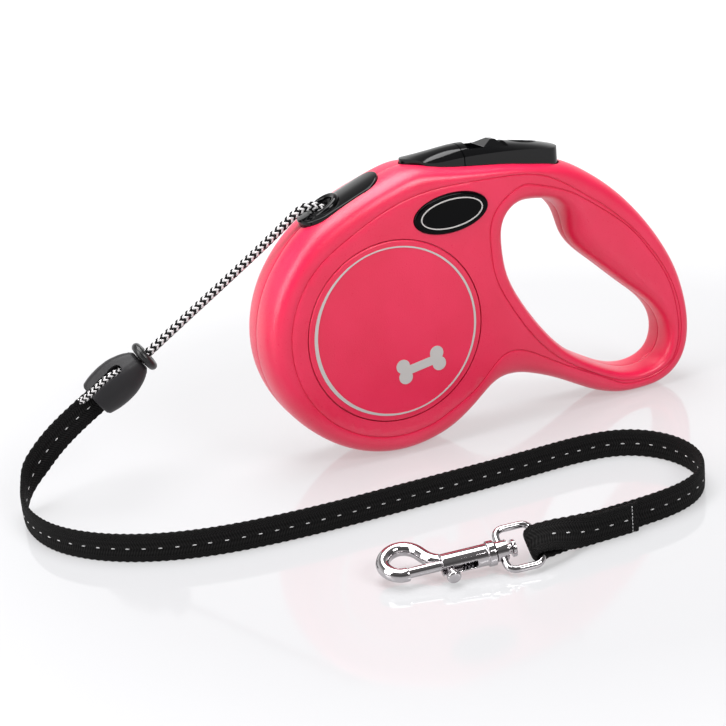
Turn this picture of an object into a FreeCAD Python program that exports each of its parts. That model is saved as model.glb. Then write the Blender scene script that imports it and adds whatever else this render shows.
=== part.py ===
import FreeCAD
import Part
import math
import os

os.makedirs("parts", exist_ok=True)

V = FreeCAD.Vector

# Retractable leash, in millimetres. X runs from the reel drum to the handle,
# -Y is the front face, Z is up and Z = 0 is the surface that it stands on.
# Hand-chosen outline points are (u, v): u from the drum axis, v above the floor.

# Housing
DRUM_X = -35.2
DRUM_Z = 43.45
CREST_R = 36.3
SEAM_GAP = 0.1
CAVITY_R = 40.4
CAVITY_R_END = 36.6
CAVITY_Y = 6.0
CAVITY_Y_END = 10.4
PROFILE_OVERRUN = 1.06
PROFILE_POWER = {-1: 2.7, 1: 3.6}
PROFILE_SLOPE = 1.0
SKIN_LEVELS = (SEAM_GAP, 2.0, 4.0, 6.0, 8.0, 9.5, 11.0, 12.5, 14.0)

# Drum outline at the seam from below the waist round to the cord guide, as (degrees, radius)
DRUM_LINE = ((-58, 43.6), (-73, 43.6), (-88, 43.5), (-103, 43.2), (-118, 42.8), (-133, 42.6),
             (-148, 42.9), (-163, 43.4), (-178, 43.7), (-193, 43.7), (-208, 43.7), (-223, 43.8))

# Half thickness of the body along X, as (u, half thickness)
FACE_LINE = ((-60, 12.5), (0, 12.5), (38, 12.45), (50, 11.7), (62, 10.4), (74, 9.3),
             (86, 8.55), (100, 8.15), (125, 8.0))

# Outer outline at the seam and the crease on the face, as (u, v, crease u, crease v)
RIM = ((-24.5, 80.4, -19.5, 73.9), (-16.0, 85.3, -11.0, 78.8), (-6.5, 89.5, -2.2, 83.1),
       (3.0, 92.9, 6.0, 86.0), (12.5, 95.0, 14.5, 87.7), (21.5, 93.8, 23.5, 88.2),
       (32.0, 92.2, 35.0, 88.0), (45.0, 90.7, 47.0, 87.4), (57.0, 88.9, 57.5, 85.3),
       (68.0, 87.0, 66.5, 80.6), (76.0, 82.8, 74.2, 75.4), (83.4, 77.5, 80.7, 70.8),
       (90.4, 71.3, 87.0, 65.4), (97.0, 64.0, 93.0, 59.6), (102.6, 56.5, 98.5, 52.8),
       (107.4, 48.6, 103.0, 46.2), (111.0, 40.6, 106.6, 39.4), (113.3, 32.4, 109.3, 31.6),
       (114.6, 24.0, 110.5, 24.0), (114.4, 16.3, 110.2, 16.7), (112.3, 9.3, 108.2, 10.8),
       (108.0, 4.0, 104.4, 6.9), (101.8, 1.0, 98.9, 4.5), (93.5, 0.12, 92.4, 3.8),
       (84.5, 0.7, 85.3, 4.6), (76.5, 3.1, 77.8, 8.6), (68.5, 7.2, 69.6, 13.0),
       (60.0, 11.7, 61.0, 17.7), (52.0, 15.0, 52.5, 22.9), (44.5, 16.9, 45.8, 26.4),
       (37.5, 16.3, 39.5, 27.2), (32.0, 13.4, 33.6, 23.6), (27.5, 10.0, 26.8, 17.2))

# Finger hole at the seam and the crease round it, as (u, v, crease u, crease v)
HOLE = ((55.0, 76.4, 53.8, 82.2), (61.5, 75.0, 63.4, 78.9), (67.0, 69.8, 72.8, 73.8),
        (69.3, 61.4, 84.7, 65.2), (79.6, 49.2, 96.4, 53.0), (91.3, 38.6, 104.5, 40.2),
        (101.9, 28.2, 108.0, 28.4), (105.5, 18.8, 108.7, 18.2), (103.0, 11.4, 105.4, 9.4),
        (96.6, 8.1, 97.6, 5.7), (87.8, 8.6, 87.5, 6.0), (77.0, 13.5, 75.6, 11.0),
        (65.0, 21.6, 61.3, 20.0), (56.6, 30.8, 51.7, 29.3), (48.9, 42.2, 43.1, 42.0),
        (43.9, 53.0, 37.5, 53.9), (42.4, 64.0, 36.2, 65.4), (43.4, 71.2, 37.7, 74.6),
        (46.2, 74.9, 42.4, 79.7), (50.0, 76.4, 48.2, 82.6))

# Handle hollow between the half shells
HANDLE_POCKET = ((80.0, 68.0), (87.0, 61.8), (91.0, 56.0), (86.5, 53.5), (80.5, 60.0), (77.0, 65.5))
HANDLE_POCKET_Y = 4.5

# Round face disc, its inlay and the oval badge
DISC_R = 30.3
DISC_GAP = 0.3
DISC_BACK = 11.5
DISC_FRONT = 12.7
INLAY_T = 0.15
INLAY_OUT_R = 28.4
INLAY_IN_R = 26.6
INLAY_IN_U = 0.3
INLAY_IN_V = -1.1
BONE_U = 7.5
BONE_V = -13.0
BONE_TILT = 10.0
BONE_HALF = 6.2
BONE_W = 3.0
BONE_END_R = 2.4
BADGE_U = 22.5
BADGE_V = 79.0
BADGE_A = 13.2
BADGE_B = 6.4
BADGE_TILT = 4.0
BADGE_BACK = 11.6
BADGE_FRONT = 13.3
BADGE_EDGE = 0.8

# Axle, reel and spring, all about the drum axis
AXLE_R = 3.0
AXLE_HALF = 10.9
BOSS_R = 5.5
BOSS_END = 7.7
RUN_GAP = 0.05
REEL_R = 38.0
TOOTH_ROOT_R = 35.9
TEETH = 24
TOOTH_PHASE = 34.0
TOOTH_FILL = 0.42
FLANGE_IN = 6.2
FLANGE_OUT = 7.3
HUB_OUT_R = 16.0
HUB_IN_R = 14.6
COVER_R = 14.55
COIL_R = 34.2
COIL_HALF = 5.9
SPRING_T = 0.4
SPRING_PITCH = 1.0
SPRING_START_R = 4.4
SPRING_TURNS = 9
SPRING_HALF = 5.2

# Brake cover, button, lock slider and their pocket
BRAKE_HALF_W = 7.2
BRAKE_NOSE_U = 11.4
BRAKE_NOSE_L = 12.0
BRAKE_REAR_U = 66.3
BRAKE_REAR_R = 4.0
BRAKE_DEEP_U = 30.3
BRAKE_GAP = 0.3
BRAKE_REAR_SLACK = 2.2
POCKET_COVER_V = 88.0
POCKET_BUTTON_V = 80.3
COVER_SIDE = ((8.0, 110.0), (31.0, 110.0), (31.0, 88.3), (8.0, 88.3))
BUTTON_SIDE = ((31.35, 110.0), (75.0, 110.0), (75.0, 86.0), (56.0, 86.2), (38.0, 88.5), (31.35, 88.5))
BRAKE_CROWN = ((7.0, 95.9, 95.6), (13.0, 96.7, 95.3), (18.0, 97.2, 94.7), (24.0, 97.8, 94.6),
               (30.0, 98.3, 94.8), (38.0, 98.1, 94.7), (48.0, 96.7, 94.2), (58.0, 94.9, 93.2),
               (66.0, 92.9, 92.2), (72.0, 91.4, 91.0))
BRAKE_CROWN_FOOT = 80.0
PIVOT_U = 33.2
PIVOT_V = 86.2
PIVOT_R = 1.2
PIVOT_HALF = 10.0
PIVOT_BOSS_R = 2.4
ARM_SIDE = ((34.6, 88.8), (38.0, 88.8), (38.3, 66.0), (33.55, 63.9), (33.05, 66.2), (35.3, 68.5))
ARM_Y0 = -7.1
ARM_Y1 = -3.1
ARM_SLOT = ((31.0, 81.0), (39.0, 81.0), (39.0, 61.0), (31.0, 59.0))
ARM_SLOT_GAP = 0.4
RECESS_U0 = 33.6
RECESS_U1 = 48.4
RECESS_HALF_W = 5.2
RECESS_DEPTH = 1.7
TOP_SLOPE = math.radians(-8.6)
SLIDER_U = 43.4
SLIDER_V = 94.75
SLIDER_L = 9.0
SLIDER_HALF_W = 4.9
SLIDER_BASE_T = 1.2
SLIDER_PEAK = 3.3
DIMPLE_U = 57.5
DIMPLE_V = 98.6
DIMPLE_R = 8.0
DIMPLE_HALF_W = 4.8
DIMPLE_SQUASH = 0.6
BRAKE_SPRING_U = 54.0
BRAKE_SPRING_R = 2.4
BRAKE_SPRING_WIRE = 0.5
BRAKE_SPRING_COILS = 5

# Cord guide: a pad let into the rim with a flared mouth
GUIDE_U = -10.9
GUIDE_V = 87.2
GUIDE_TILT = math.radians(22.5)
GUIDE_HALF_L = 14.9
GUIDE_HALF_W = 7.4
GUIDE_DEEP = 6.0
GUIDE_PROUD = 1.2
GUIDE_CROWN_R = 26.0
GUIDE_ROUND = 0.45
GUIDE_GAP = 0.1
GUIDE_CLEAR = 4.0
MOUTH_U = -16.3
MOUTH_V = 85.8
MOUTH_AX = (-0.5, 0.866)
BORE_AX = (-0.648, 0.761)
MOUTH_R = 4.8
MOUTH_LIP_R = 1.2
MOUTH_THROAT = 0.8
MOUTH_COLLAR = 0.8
FLARE_L = 2.6
COLLAR_L = 4.5
MOUTH_BORE_R = 2.3
MOUTH_DEPTH = 9.0

# Screws, from the rear shell into the front one
SCREWS = ((42.5, 25.0), (74.6, 76.6), (97.0, 46.0))
SCREW_R = 1.4
SCREW_HEAD_R = 2.6
SCREW_HEAD_T = 1.8
SCREW_SEAT = 5.6
SCREW_TIP = -6.0
SCREW_SLOT_W = 0.7
SCREW_BORE_TOP = 13.5

# Cord: from the coil, through the guide, to the connector. Points are (u, y, z).
CORD_R = 1.5
CORD_ROUTE = ((-3.0, 0.0, 79.55), (-10.6, 0.0, 79.2), (-15.2, 0.0, 84.6), (-22.0, 0.35, 87.6),
              (-31.0, 2.1, 80.1), (-47.5, 6.3, 67.3), (-63.5, 10.4, 55.2), (-79.7, 14.1, 43.0))
LIP_BEND_R = 4.5

# Connector, stop ring and cord loop, along the line from the ring to the strap
CONN_TOP = (-78.9, 14.0, 43.5)
CONN_DIR = (-0.838, 0.06, -0.543)
CONN_SECTIONS = ((0.0, 3.3, 3.1), (1.0, 4.4, 3.9), (3.5, 5.9, 4.9), (7.5, 7.2, 5.7),
                 (11.5, 7.5, 5.9), (15.5, 7.2, 5.6), (19.0, 6.3, 5.0))
CONN_BORE_R = 1.9
CONN_BORE_L = 7.5
CONN_MOUTH_W = 9.7
CONN_MOUTH_T = 2.6
CONN_MOUTH_L = 7.0
CONN_SLOT_W = 2.9
CONN_SLOT_S0 = 6.0
CONN_SLOT_FLOOR = 2.9
RING_S = -1.9
RING_MAJOR = 3.9
RING_MINOR = 1.45
LOOP_R = 1.15
LOOP_ROUTE = ((3.2, -0.4), (8.2, -4.5), (13.8, -5.5), (19.0, -5.4))

# Webbing strap and its folded end
STRAP_W = 9.0
STRAP_T = 1.6
STRAP_ROUTE = ((-92.6, 14.9, 34.4), (-102.5, 17.9, 27.2), (-112.0, 20.6, 18.6), (-119.9, 19.9, 9.9),
               (-124.3, 10.0, 4.6), (-123.9, -5.2, 4.6), (-119.3, -19.6, 4.6), (-109.2, -32.6, 4.6),
               (-94.4, -42.8, 4.6), (-75.0, -49.3, 4.6), (-48.0, -51.9, 4.6), (-12.0, -51.5, 4.6),
               (22.0, -51.0, 4.6), (45.0, -49.8, 4.6), (58.6, -52.8, 4.6), (67.2, -62.2, 4.6),
               (69.7, -75.0, 4.6), (65.6, -88.0, 4.6), (55.0, -96.8, 4.6), (39.0, -100.2, 4.6),
               (20.0, -100.4, 4.6))
STRAP_END_T = 3.4
FOLD_CLEAR = 0.25
FOLD_LAP = 0.02
FOLD_EDGE = 0.03

# Bolt snap: a runs from the swivel to the eye, b to the side of the eye
HOOK_AT = (-12.3, -100.8, 5.2)
HOOK_DIR = (-1.0, 0.16, -0.05)
EYE_TILT = math.radians(15)
LOOP_TILT = math.radians(30)
BARREL_L = 15.5
BARREL_R = 3.1
BARREL_BORE_R = 1.55
BARREL_FLOOR = 1.2
BARREL_LIP_R = 3.6
BARREL_LIP_L = 2.2
SLOT_A0 = 5.6
SLOT_W = 2.4
EYE_LINE = ((11.0, 0.7), (15.2, 1.6), (18.2, 3.9), (20.8, 8.2), (24.9, 10.3), (29.0, 8.6),
            (30.7, 4.9), (28.9, 1.0), (25.0, -0.3))
EYE_ROD_R = 2.0
BOLT_R = 1.5
BOLT_A0 = 9.6
BOLT_A1 = 24.7
KNOB_A = 13.4
KNOB_STEM_R = 1.0
KNOB_STEM_L = 4.4
KNOB_R = 2.0
KNOB_T = 1.9
SWIVEL_PIN_R = 1.5
SWIVEL_PIN_END = -5.0
SWIVEL_HEAD_R = 2.5
SWIVEL_HEAD_T = 1.1
SWIVEL_BOSS_R = 2.9
SWIVEL_BOSS_A0 = -0.3
SWIVEL_BOSS_A1 = -3.6
DLOOP_HALF = 6.9
DLOOP_ROD_R = 1.05
DLOOP_END_A = -12.4
BOLT_SPRING_WIRE = 0.35
BOLT_SPRING_R = 1.1
BOLT_SPRING_COILS = 7

BIG = 200.0


def vec(u, v, y=0.0):
    """Point at u from the drum axis and v above the floor."""
    return V(u + DRUM_X, y, v)


def route(points):
    """Route points, given as (u, y, z)."""
    return [vec(u, z, y) for u, y, z in points]


def poly_face(points, y):
    """Plane face through (u, v) points at one Y."""
    corners = [vec(u, v, y) for u, v in points]
    return Part.Face(Part.makePolygon(corners + corners[:1]))


def prism(points, y0, y1):
    """Solid with a side outline in (u, v), from y0 to y1."""
    return poly_face(points, y0).extrude(V(0, y1 - y0, 0))


def rod(start, end, radius):
    """Round rod from one point to another."""
    line = end - start
    return Part.makeCylinder(radius, line.Length, start, line)


def drum_disc(radius, y0, y1):
    """Disc about the drum axis from y0 to y1."""
    return Part.makeCylinder(radius, y1 - y0, vec(0, DRUM_Z, y0), V(0, 1, 0))


def spring(radius, wire_r, height, coils, base, direction):
    """Closed round-wire compression spring standing on base."""
    pitch = (height - 2 * wire_r) / coils
    helix = Part.makeHelix(pitch, height - 2 * wire_r, radius)
    helix.translate(V(0, 0, wire_r))
    section = Part.Wire(Part.makeCircle(wire_r, V(radius, 0, wire_r), V(0, 1, 0)))
    solid = Part.Wire(helix.Edges).makePipeShell([section], True, True)
    solid.Placement = FreeCAD.Placement(base, FreeCAD.Rotation(V(0, 0, 1), direction))
    return solid


def half_thickness(u):
    """Half thickness of the body at u, in straight steps along the face line."""
    for (u0, t0), (u1, t1) in zip(FACE_LINE, FACE_LINE[1:]):
        if u <= u1:
            return t0 + (t1 - t0) * (u - u0) / (u1 - u0)
    return FACE_LINE[-1][1]


def bulge(share, power):
    """How far a rounded wall has come in at a share of its depth."""
    return 1 - (1 - share ** power) ** (1 / power)


def inset_share(y, half, width, power):
    """Share of the way from the seam outline to the crease at depth y."""
    full = half * PROFILE_OVERRUN
    if y > half:
        return 1 + (y - half) * PROFILE_SLOPE / width
    return bulge(y / full, power) / bulge(1 / PROFILE_OVERRUN, power)


def skin(pairs, side):
    """Loft whose wall curves from the seam outline to the crease and on past it."""
    wires = []
    for level in SKIN_LEVELS:
        points = []
        for u, v, cu, cv in pairs:
            width = math.hypot(cu - u, cv - v)
            share = inset_share(level, half_thickness(cu), width, PROFILE_POWER[side])
            points.append(vec(u + (cu - u) * share, v + (cv - v) * share, side * level))
        curve = Part.BSplineCurve()
        curve.interpolate(points, PeriodicFlag=True)
        wires.append(Part.Wire(curve.toShape()))
    return Part.makeLoft(wires, True, False, False, 3)


def rim_pairs():
    """Drum outline and its crease circle, then the rim points."""
    pairs = []
    for degrees, radius in DRUM_LINE:
        c = math.cos(math.radians(degrees))
        s = math.sin(math.radians(degrees))
        pairs.append((radius * c, DRUM_Z + radius * s, CREST_R * c, DRUM_Z + CREST_R * s))
    return pairs + list(RIM)


def face_block(side):
    """Everything between the seam and the face of one half."""
    line = Part.BSplineCurve()
    line.interpolate([V(u + DRUM_X, side * t, -BIG) for u, t in FACE_LINE])
    first = line.StartPoint
    last = line.EndPoint
    base_first = V(first.x, 0, -BIG)
    base_last = V(last.x, 0, -BIG)
    edges = [line.toShape(), Part.makeLine(last, base_last), Part.makeLine(base_last, base_first),
             Part.makeLine(base_first, first)]
    return Part.Face(Part.Wire(edges)).extrude(V(0, 0, 2 * BIG))


def drum_cavity():
    """Room for the reel: a drum with coned ends."""
    corners = ((0, -CAVITY_Y_END), (CAVITY_R_END, -CAVITY_Y_END), (CAVITY_R, -CAVITY_Y),
               (CAVITY_R, CAVITY_Y), (CAVITY_R_END, CAVITY_Y_END), (0, CAVITY_Y_END))
    points = [vec(r, DRUM_Z, y) for r, y in corners]
    face = Part.Face(Part.makePolygon(points + points[:1]))
    return face.revolve(vec(0, DRUM_Z), V(0, 1, 0), 360)


def brake_plan(grow, z0, z1):
    """Brake unit seen from above: a tapered nose and a rounded rear, from z0 to z1."""
    half = BRAKE_HALF_W + grow
    nose = BRAKE_NOSE_U - grow
    shoulder = BRAKE_NOSE_U + BRAKE_NOSE_L
    rear = BRAKE_REAR_U + BRAKE_REAR_SLACK * grow
    points = [vec(nose, z0, 0), vec(shoulder, z0, -half)]
    curve = Part.BSplineCurve()
    curve.interpolate([vec(shoulder, z0, half), vec(nose + 4.0, z0, half * 0.68), points[0],
                       vec(nose + 4.0, z0, -half * 0.68), points[1]],
                      InitialTangent=V(-12, 0, 0), FinalTangent=V(12, 0, 0))
    corner = rear - BRAKE_REAR_R
    bulge = rear - BRAKE_REAR_R * 0.293
    inner = half - BRAKE_REAR_R
    edge = half - BRAKE_REAR_R * 0.293
    arc_a = Part.Arc(vec(corner, z0, -half), vec(bulge, z0, -edge), vec(rear, z0, -inner))
    arc_b = Part.Arc(vec(rear, z0, inner), vec(bulge, z0, edge), vec(corner, z0, half))
    edges = [curve.toShape(), Part.makeLine(points[1], vec(corner, z0, -half)), arc_a.toShape(),
             Part.makeLine(vec(rear, z0, -inner), vec(rear, z0, inner)), arc_b.toShape(),
             Part.makeLine(vec(corner, z0, half), vec(shoulder, z0, half))]
    return Part.Face(Part.Wire(edges)).extrude(V(0, 0, z1 - z0))


def brake_pocket():
    """Opening in the top of the housing for the brake cover and button."""
    whole = brake_plan(BRAKE_GAP, POCKET_COVER_V, BIG)
    deep = brake_plan(BRAKE_GAP, POCKET_BUTTON_V, BIG)
    rear_box = Part.makeBox(BIG, BIG, BIG, vec(BRAKE_DEEP_U, 0, -BIG / 2))
    return whole.fuse(deep.common(rear_box))


def guide_frame():
    """Placement whose X runs along the rim and whose Z points out of it."""
    along = V(math.cos(GUIDE_TILT), 0, math.sin(GUIDE_TILT))
    out = V(-math.sin(GUIDE_TILT), 0, math.cos(GUIDE_TILT))
    turn = FreeCAD.Rotation(along, V(0, 1, 0), out, "ZXY")
    return FreeCAD.Placement(vec(GUIDE_U, GUIDE_V), turn)


def guide_pad(grow, proud):
    """Long rounded pad of the cord guide, crowned across its width."""
    a = GUIDE_HALF_L + grow
    b = GUIDE_HALF_W + grow
    run = a - b
    low = -GUIDE_DEEP - grow
    corners = [V(-run, -b, low), V(run, -b, low), V(run, b, low), V(-run, b, low)]
    arc_r = Part.Arc(corners[1], V(a, 0, low), corners[2]).toShape()
    arc_l = Part.Arc(corners[3], V(-a, 0, low), corners[0]).toShape()
    edges = [Part.makeLine(corners[0], corners[1]), arc_r, Part.makeLine(corners[2], corners[3]), arc_l]
    pad = Part.Face(Part.Wire(edges)).extrude(V(0, 0, proud - low))
    if not grow:
        crown = Part.makeCylinder(GUIDE_CROWN_R, 4 * a, V(-2 * a, 0, proud - GUIDE_CROWN_R), V(1, 0, 0))
        pad = pad.common(crown).removeSplitter()
        top = [e for e in pad.Edges if e.BoundBox.ZMin > proud - 3]
        pad = soften(pad, GUIDE_ROUND, top)
    pad.Placement = guide_frame()
    return pad


def cord_guide():
    """Pad with a flared, rounded mouth for the cord."""
    axis = V(MOUTH_AX[0], 0, MOUTH_AX[1]).normalize()
    inward = V(-BORE_AX[0], 0, -BORE_AX[1]).normalize()
    mouth = vec(MOUTH_U, MOUTH_V)
    collar_r = MOUTH_R + MOUTH_COLLAR * MOUTH_LIP_R
    collar = Part.makeCylinder(collar_r, COLLAR_L, mouth - axis * COLLAR_L, axis)
    body = guide_pad(0.0, GUIDE_PROUD).fuse(collar)
    body = body.fuse(Part.makeTorus(MOUTH_R, MOUTH_LIP_R, mouth, axis))
    throat = MOUTH_R - MOUTH_THROAT * MOUTH_LIP_R
    flare = Part.makeCone(MOUTH_BORE_R, throat, FLARE_L, mouth - axis * FLARE_L, axis)
    tip = Part.makeCylinder(throat, FLARE_L, mouth, axis)
    bore = Part.makeCylinder(MOUTH_BORE_R, MOUTH_DEPTH + 1, mouth - inward, inward)
    body = body.cut(flare.fuse(tip).fuse(bore))
    return body.cut(drum_disc(CAVITY_R + 0.3, -BIG, BIG)).removeSplitter()


def screw_bore():
    """Stepped holes for the housing screws."""
    cuts = []
    for u, v in SCREWS:
        cuts.append(rod(vec(u, v, SCREW_TIP), vec(u, v, SCREW_SEAT), SCREW_R))
        cuts.append(rod(vec(u, v, SCREW_SEAT), vec(u, v, SCREW_BORE_TOP), SCREW_HEAD_R + 0.2))
    return cuts


def ellipse_prism(a, b, u, v, tilt, y0, y1):
    """Upright elliptical plate in the plane of the face."""
    curve = Part.Ellipse(V(0, 0, 0), a, b)
    face = Part.Face(Part.Wire(curve.toShape()))
    face.rotate(V(0, 0, 0), V(0, 0, 1), tilt)
    face.rotate(V(0, 0, 0), V(1, 0, 0), 90)
    face.translate(vec(u, v, y0))
    return face.extrude(V(0, y1 - y0, 0))


def half_shell(side):
    """One half of the housing with its hollows, bosses and recesses."""
    solid = skin(rim_pairs(), side).common(face_block(side))
    solid = solid.cut(skin(HOLE, side))
    solid = solid.cut(Part.makeBox(2 * BIG, 2 * BIG, BIG, V(-BIG, -BIG, -BIG)))
    solid = solid.cut(drum_cavity())
    ends = sorted((side * BOSS_END, side * (CAVITY_Y_END + 0.2)))
    solid = solid.fuse(drum_disc(BOSS_R, *ends))
    axle_end = AXLE_HALF + RUN_GAP
    cuts = [brake_pocket(), guide_pad(GUIDE_GAP, GUIDE_CLEAR)]
    cuts.append(drum_disc(AXLE_R + RUN_GAP, -axle_end, axle_end))
    disc_ends = sorted((side * DISC_BACK, side * BIG))
    cuts.append(drum_disc(DISC_R + DISC_GAP, *disc_ends))
    cuts.append(ellipse_prism(BADGE_A + 0.15, BADGE_B + 0.15, BADGE_U, BADGE_V, BADGE_TILT,
                              side * BADGE_BACK, side * BIG))
    cuts.append(prism(HANDLE_POCKET, -HANDLE_POCKET_Y, HANDLE_POCKET_Y))
    cuts.append(prism(ARM_SLOT, ARM_Y0 - ARM_SLOT_GAP, ARM_Y1 + ARM_SLOT_GAP))
    cuts.append(rod(vec(PIVOT_U, PIVOT_V, -PIVOT_HALF), vec(PIVOT_U, PIVOT_V, PIVOT_HALF), PIVOT_R))
    cuts.extend(screw_bore())
    for tool in cuts:
        solid = solid.cut(tool)
    return solid


def face_disc(side):
    """Round disc let into the face, slightly rounded at its edge."""
    ends = sorted((side * DISC_BACK, side * DISC_FRONT))
    disc = drum_disc(DISC_R, *ends)
    outer = [e for e in disc.Edges if abs(e.BoundBox.Center.y - side * DISC_FRONT) < 0.01]
    return disc.makeFillet(0.5, outer)


def badge(side):
    """Oval badge with a rounded front edge."""
    plate = ellipse_prism(BADGE_A, BADGE_B, BADGE_U, BADGE_V, BADGE_TILT, side * BADGE_BACK,
                          side * BADGE_FRONT)
    outer = [e for e in plate.Edges if abs(e.BoundBox.Center.y - side * BADGE_FRONT) < 0.01]
    return plate.makeFillet(BADGE_EDGE, outer)


def bone(y0, y1):
    """Small generic bone figure on the disc."""
    c = math.cos(math.radians(BONE_TILT))
    s = math.sin(math.radians(BONE_TILT))

    def place(a, b):
        return (BONE_U + a * c - b * s, DRUM_Z + BONE_V + a * s + b * c)

    half = BONE_W / 2
    bar = [place(-BONE_HALF, -half), place(BONE_HALF, -half), place(BONE_HALF, half),
           place(-BONE_HALF, half)]
    solid = prism(bar, y0, y1)
    for end in (-BONE_HALF, BONE_HALF):
        for up in (-1.9, 1.9):
            u, v = place(end, up)
            solid = solid.fuse(rod(vec(u, v, min(y0, y1)), vec(u, v, max(y0, y1)), BONE_END_R))
    return solid.removeSplitter()


def trim(side):
    """Silver inlay: a tapered ring and a bone on the disc and a thin oval on the badge."""
    y0 = side * DISC_FRONT
    y1 = side * (DISC_FRONT + INLAY_T)
    low = min(y0, y1)
    centre = vec(0, DRUM_Z, low)
    hole_at = vec(INLAY_IN_U, DRUM_Z + INLAY_IN_V, low)
    ring = Part.makeCylinder(INLAY_OUT_R, INLAY_T, centre, V(0, 1, 0))
    ring = ring.cut(Part.makeCylinder(INLAY_IN_R, INLAY_T, hole_at, V(0, 1, 0)))
    b0 = side * BADGE_FRONT
    b1 = side * (BADGE_FRONT + INLAY_T)
    oval = ellipse_prism(BADGE_A - 2.2, BADGE_B - 1.6, BADGE_U, BADGE_V, BADGE_TILT, b0, b1)
    oval = oval.cut(ellipse_prism(BADGE_A - 2.6, BADGE_B - 2.0, BADGE_U, BADGE_V, BADGE_TILT, b0, b1))
    return Part.makeCompound([ring, bone(y0, y1), oval])


def reel():
    """Flanged hub; the front flange carries the ratchet teeth."""
    front = drum_disc(REEL_R, -FLANGE_OUT, -FLANGE_IN)
    gap = 360.0 / TEETH * (1 - TOOTH_FILL)
    notch_base = Part.makeCylinder(REEL_R + 1, 3, vec(0, DRUM_Z, -FLANGE_OUT - 1), V(0, 1, 0), gap)
    notch_base = notch_base.cut(drum_disc(TOOTH_ROOT_R, -BIG, BIG)).Solids[0]
    start = notch_base.CenterOfMass - vec(0, DRUM_Z)
    zero = math.degrees(math.atan2(start.z, start.x))
    for index in range(TEETH):
        notch = notch_base.copy()
        turn = -(TOOTH_PHASE + index * 360.0 / TEETH - zero)
        notch.rotate(vec(0, DRUM_Z), V(0, 1, 0), turn)
        front = front.cut(notch)
    rear = drum_disc(TOOTH_ROOT_R, FLANGE_IN, FLANGE_OUT)
    hub = drum_disc(HUB_OUT_R, -FLANGE_OUT, FLANGE_OUT)
    body = front.fuse(rear).fuse(hub)
    body = body.cut(drum_disc(HUB_IN_R, -FLANGE_IN, FLANGE_OUT + 1))
    return body.cut(drum_disc(AXLE_R + RUN_GAP, -BIG, BIG)).removeSplitter()


def spring_cover():
    lid = drum_disc(COVER_R, FLANGE_IN, FLANGE_OUT)
    return lid.cut(drum_disc(AXLE_R + RUN_GAP, -BIG, BIG))


def wound_cord():
    coil = drum_disc(COIL_R, -COIL_HALF, COIL_HALF)
    return coil.cut(drum_disc(HUB_OUT_R + 0.05, -BIG, BIG))


def spiral_edges(offset):
    """Spiral of half circles about the drum axis, as edges."""
    edges = []
    radius = SPRING_START_R + offset
    centre = 0.0
    side = 1
    for _ in range(2 * SPRING_TURNS):
        a = vec(centre + side * radius, DRUM_Z, -SPRING_HALF)
        m = vec(centre, DRUM_Z + side * radius, -SPRING_HALF)
        b = vec(centre - side * radius, DRUM_Z, -SPRING_HALF)
        edges.append(Part.Arc(a, m, b).toShape())
        radius += SPRING_PITCH / 2
        centre += side * SPRING_PITCH / 2
        side = -side
    return edges


def clock_spring():
    """Flat spiral spring round the axle, inside the hub."""
    inner = spiral_edges(0.0)
    outer = spiral_edges(SPRING_T)
    start = Part.makeLine(inner[0].Vertexes[0].Point, outer[0].Vertexes[0].Point)
    end = Part.makeLine(inner[-1].Vertexes[-1].Point, outer[-1].Vertexes[-1].Point)
    wire = Part.Wire(Part.__sortEdges__(inner + [end] + outer + [start]))
    return Part.Face(wire).extrude(V(0, 2 * SPRING_HALF, 0))


def axle():
    return drum_disc(AXLE_R, -AXLE_HALF, AXLE_HALF)


def soften(solid, radius, edges):
    """Fillet the edges that can take it."""
    try:
        return solid.makeFillet(radius, edges)
    except Part.OCCError:
        return solid


def top_edges(solid, low):
    """Edges that lie wholly above a height."""
    return [e for e in solid.Edges if e.BoundBox.ZMin > low]


def brake_crown():
    """Crowned top of the brake unit: an arch at each station along X."""
    half = BRAKE_HALF_W
    wires = []
    for u, crown, edge in BRAKE_CROWN:
        left = vec(u, edge, -half)
        right = vec(u, edge, half)
        foot_l = vec(u, BRAKE_CROWN_FOOT, -half)
        foot_r = vec(u, BRAKE_CROWN_FOOT, half)
        arch = Part.Arc(left, vec(u, crown, 0), right).toShape()
        wires.append(Part.Wire([arch, Part.makeLine(right, foot_r), Part.makeLine(foot_r, foot_l),
                                Part.makeLine(foot_l, left)]))
    return Part.makeLoft(wires, True, False, False, 3)


def brake_cover():
    """Fixed tapered cover in front of the button."""
    side = prism(COVER_SIDE, -BRAKE_HALF_W - 1, BRAKE_HALF_W + 1)
    return side.common(brake_plan(0.0, 0, BIG)).common(brake_crown()).removeSplitter()


def slider_recess():
    """Shallow trough in the button's top, along its slope."""
    box = Part.makeBox(RECESS_U1 - RECESS_U0, 2 * RECESS_HALF_W, 10.0)
    box.translate(V(0, -RECESS_HALF_W, -RECESS_DEPTH))
    box.rotate(V(0, 0, 0), V(0, 1, 0), -math.degrees(TOP_SLOPE))
    box.translate(vec(RECESS_U0, 97.85))
    return box


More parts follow.
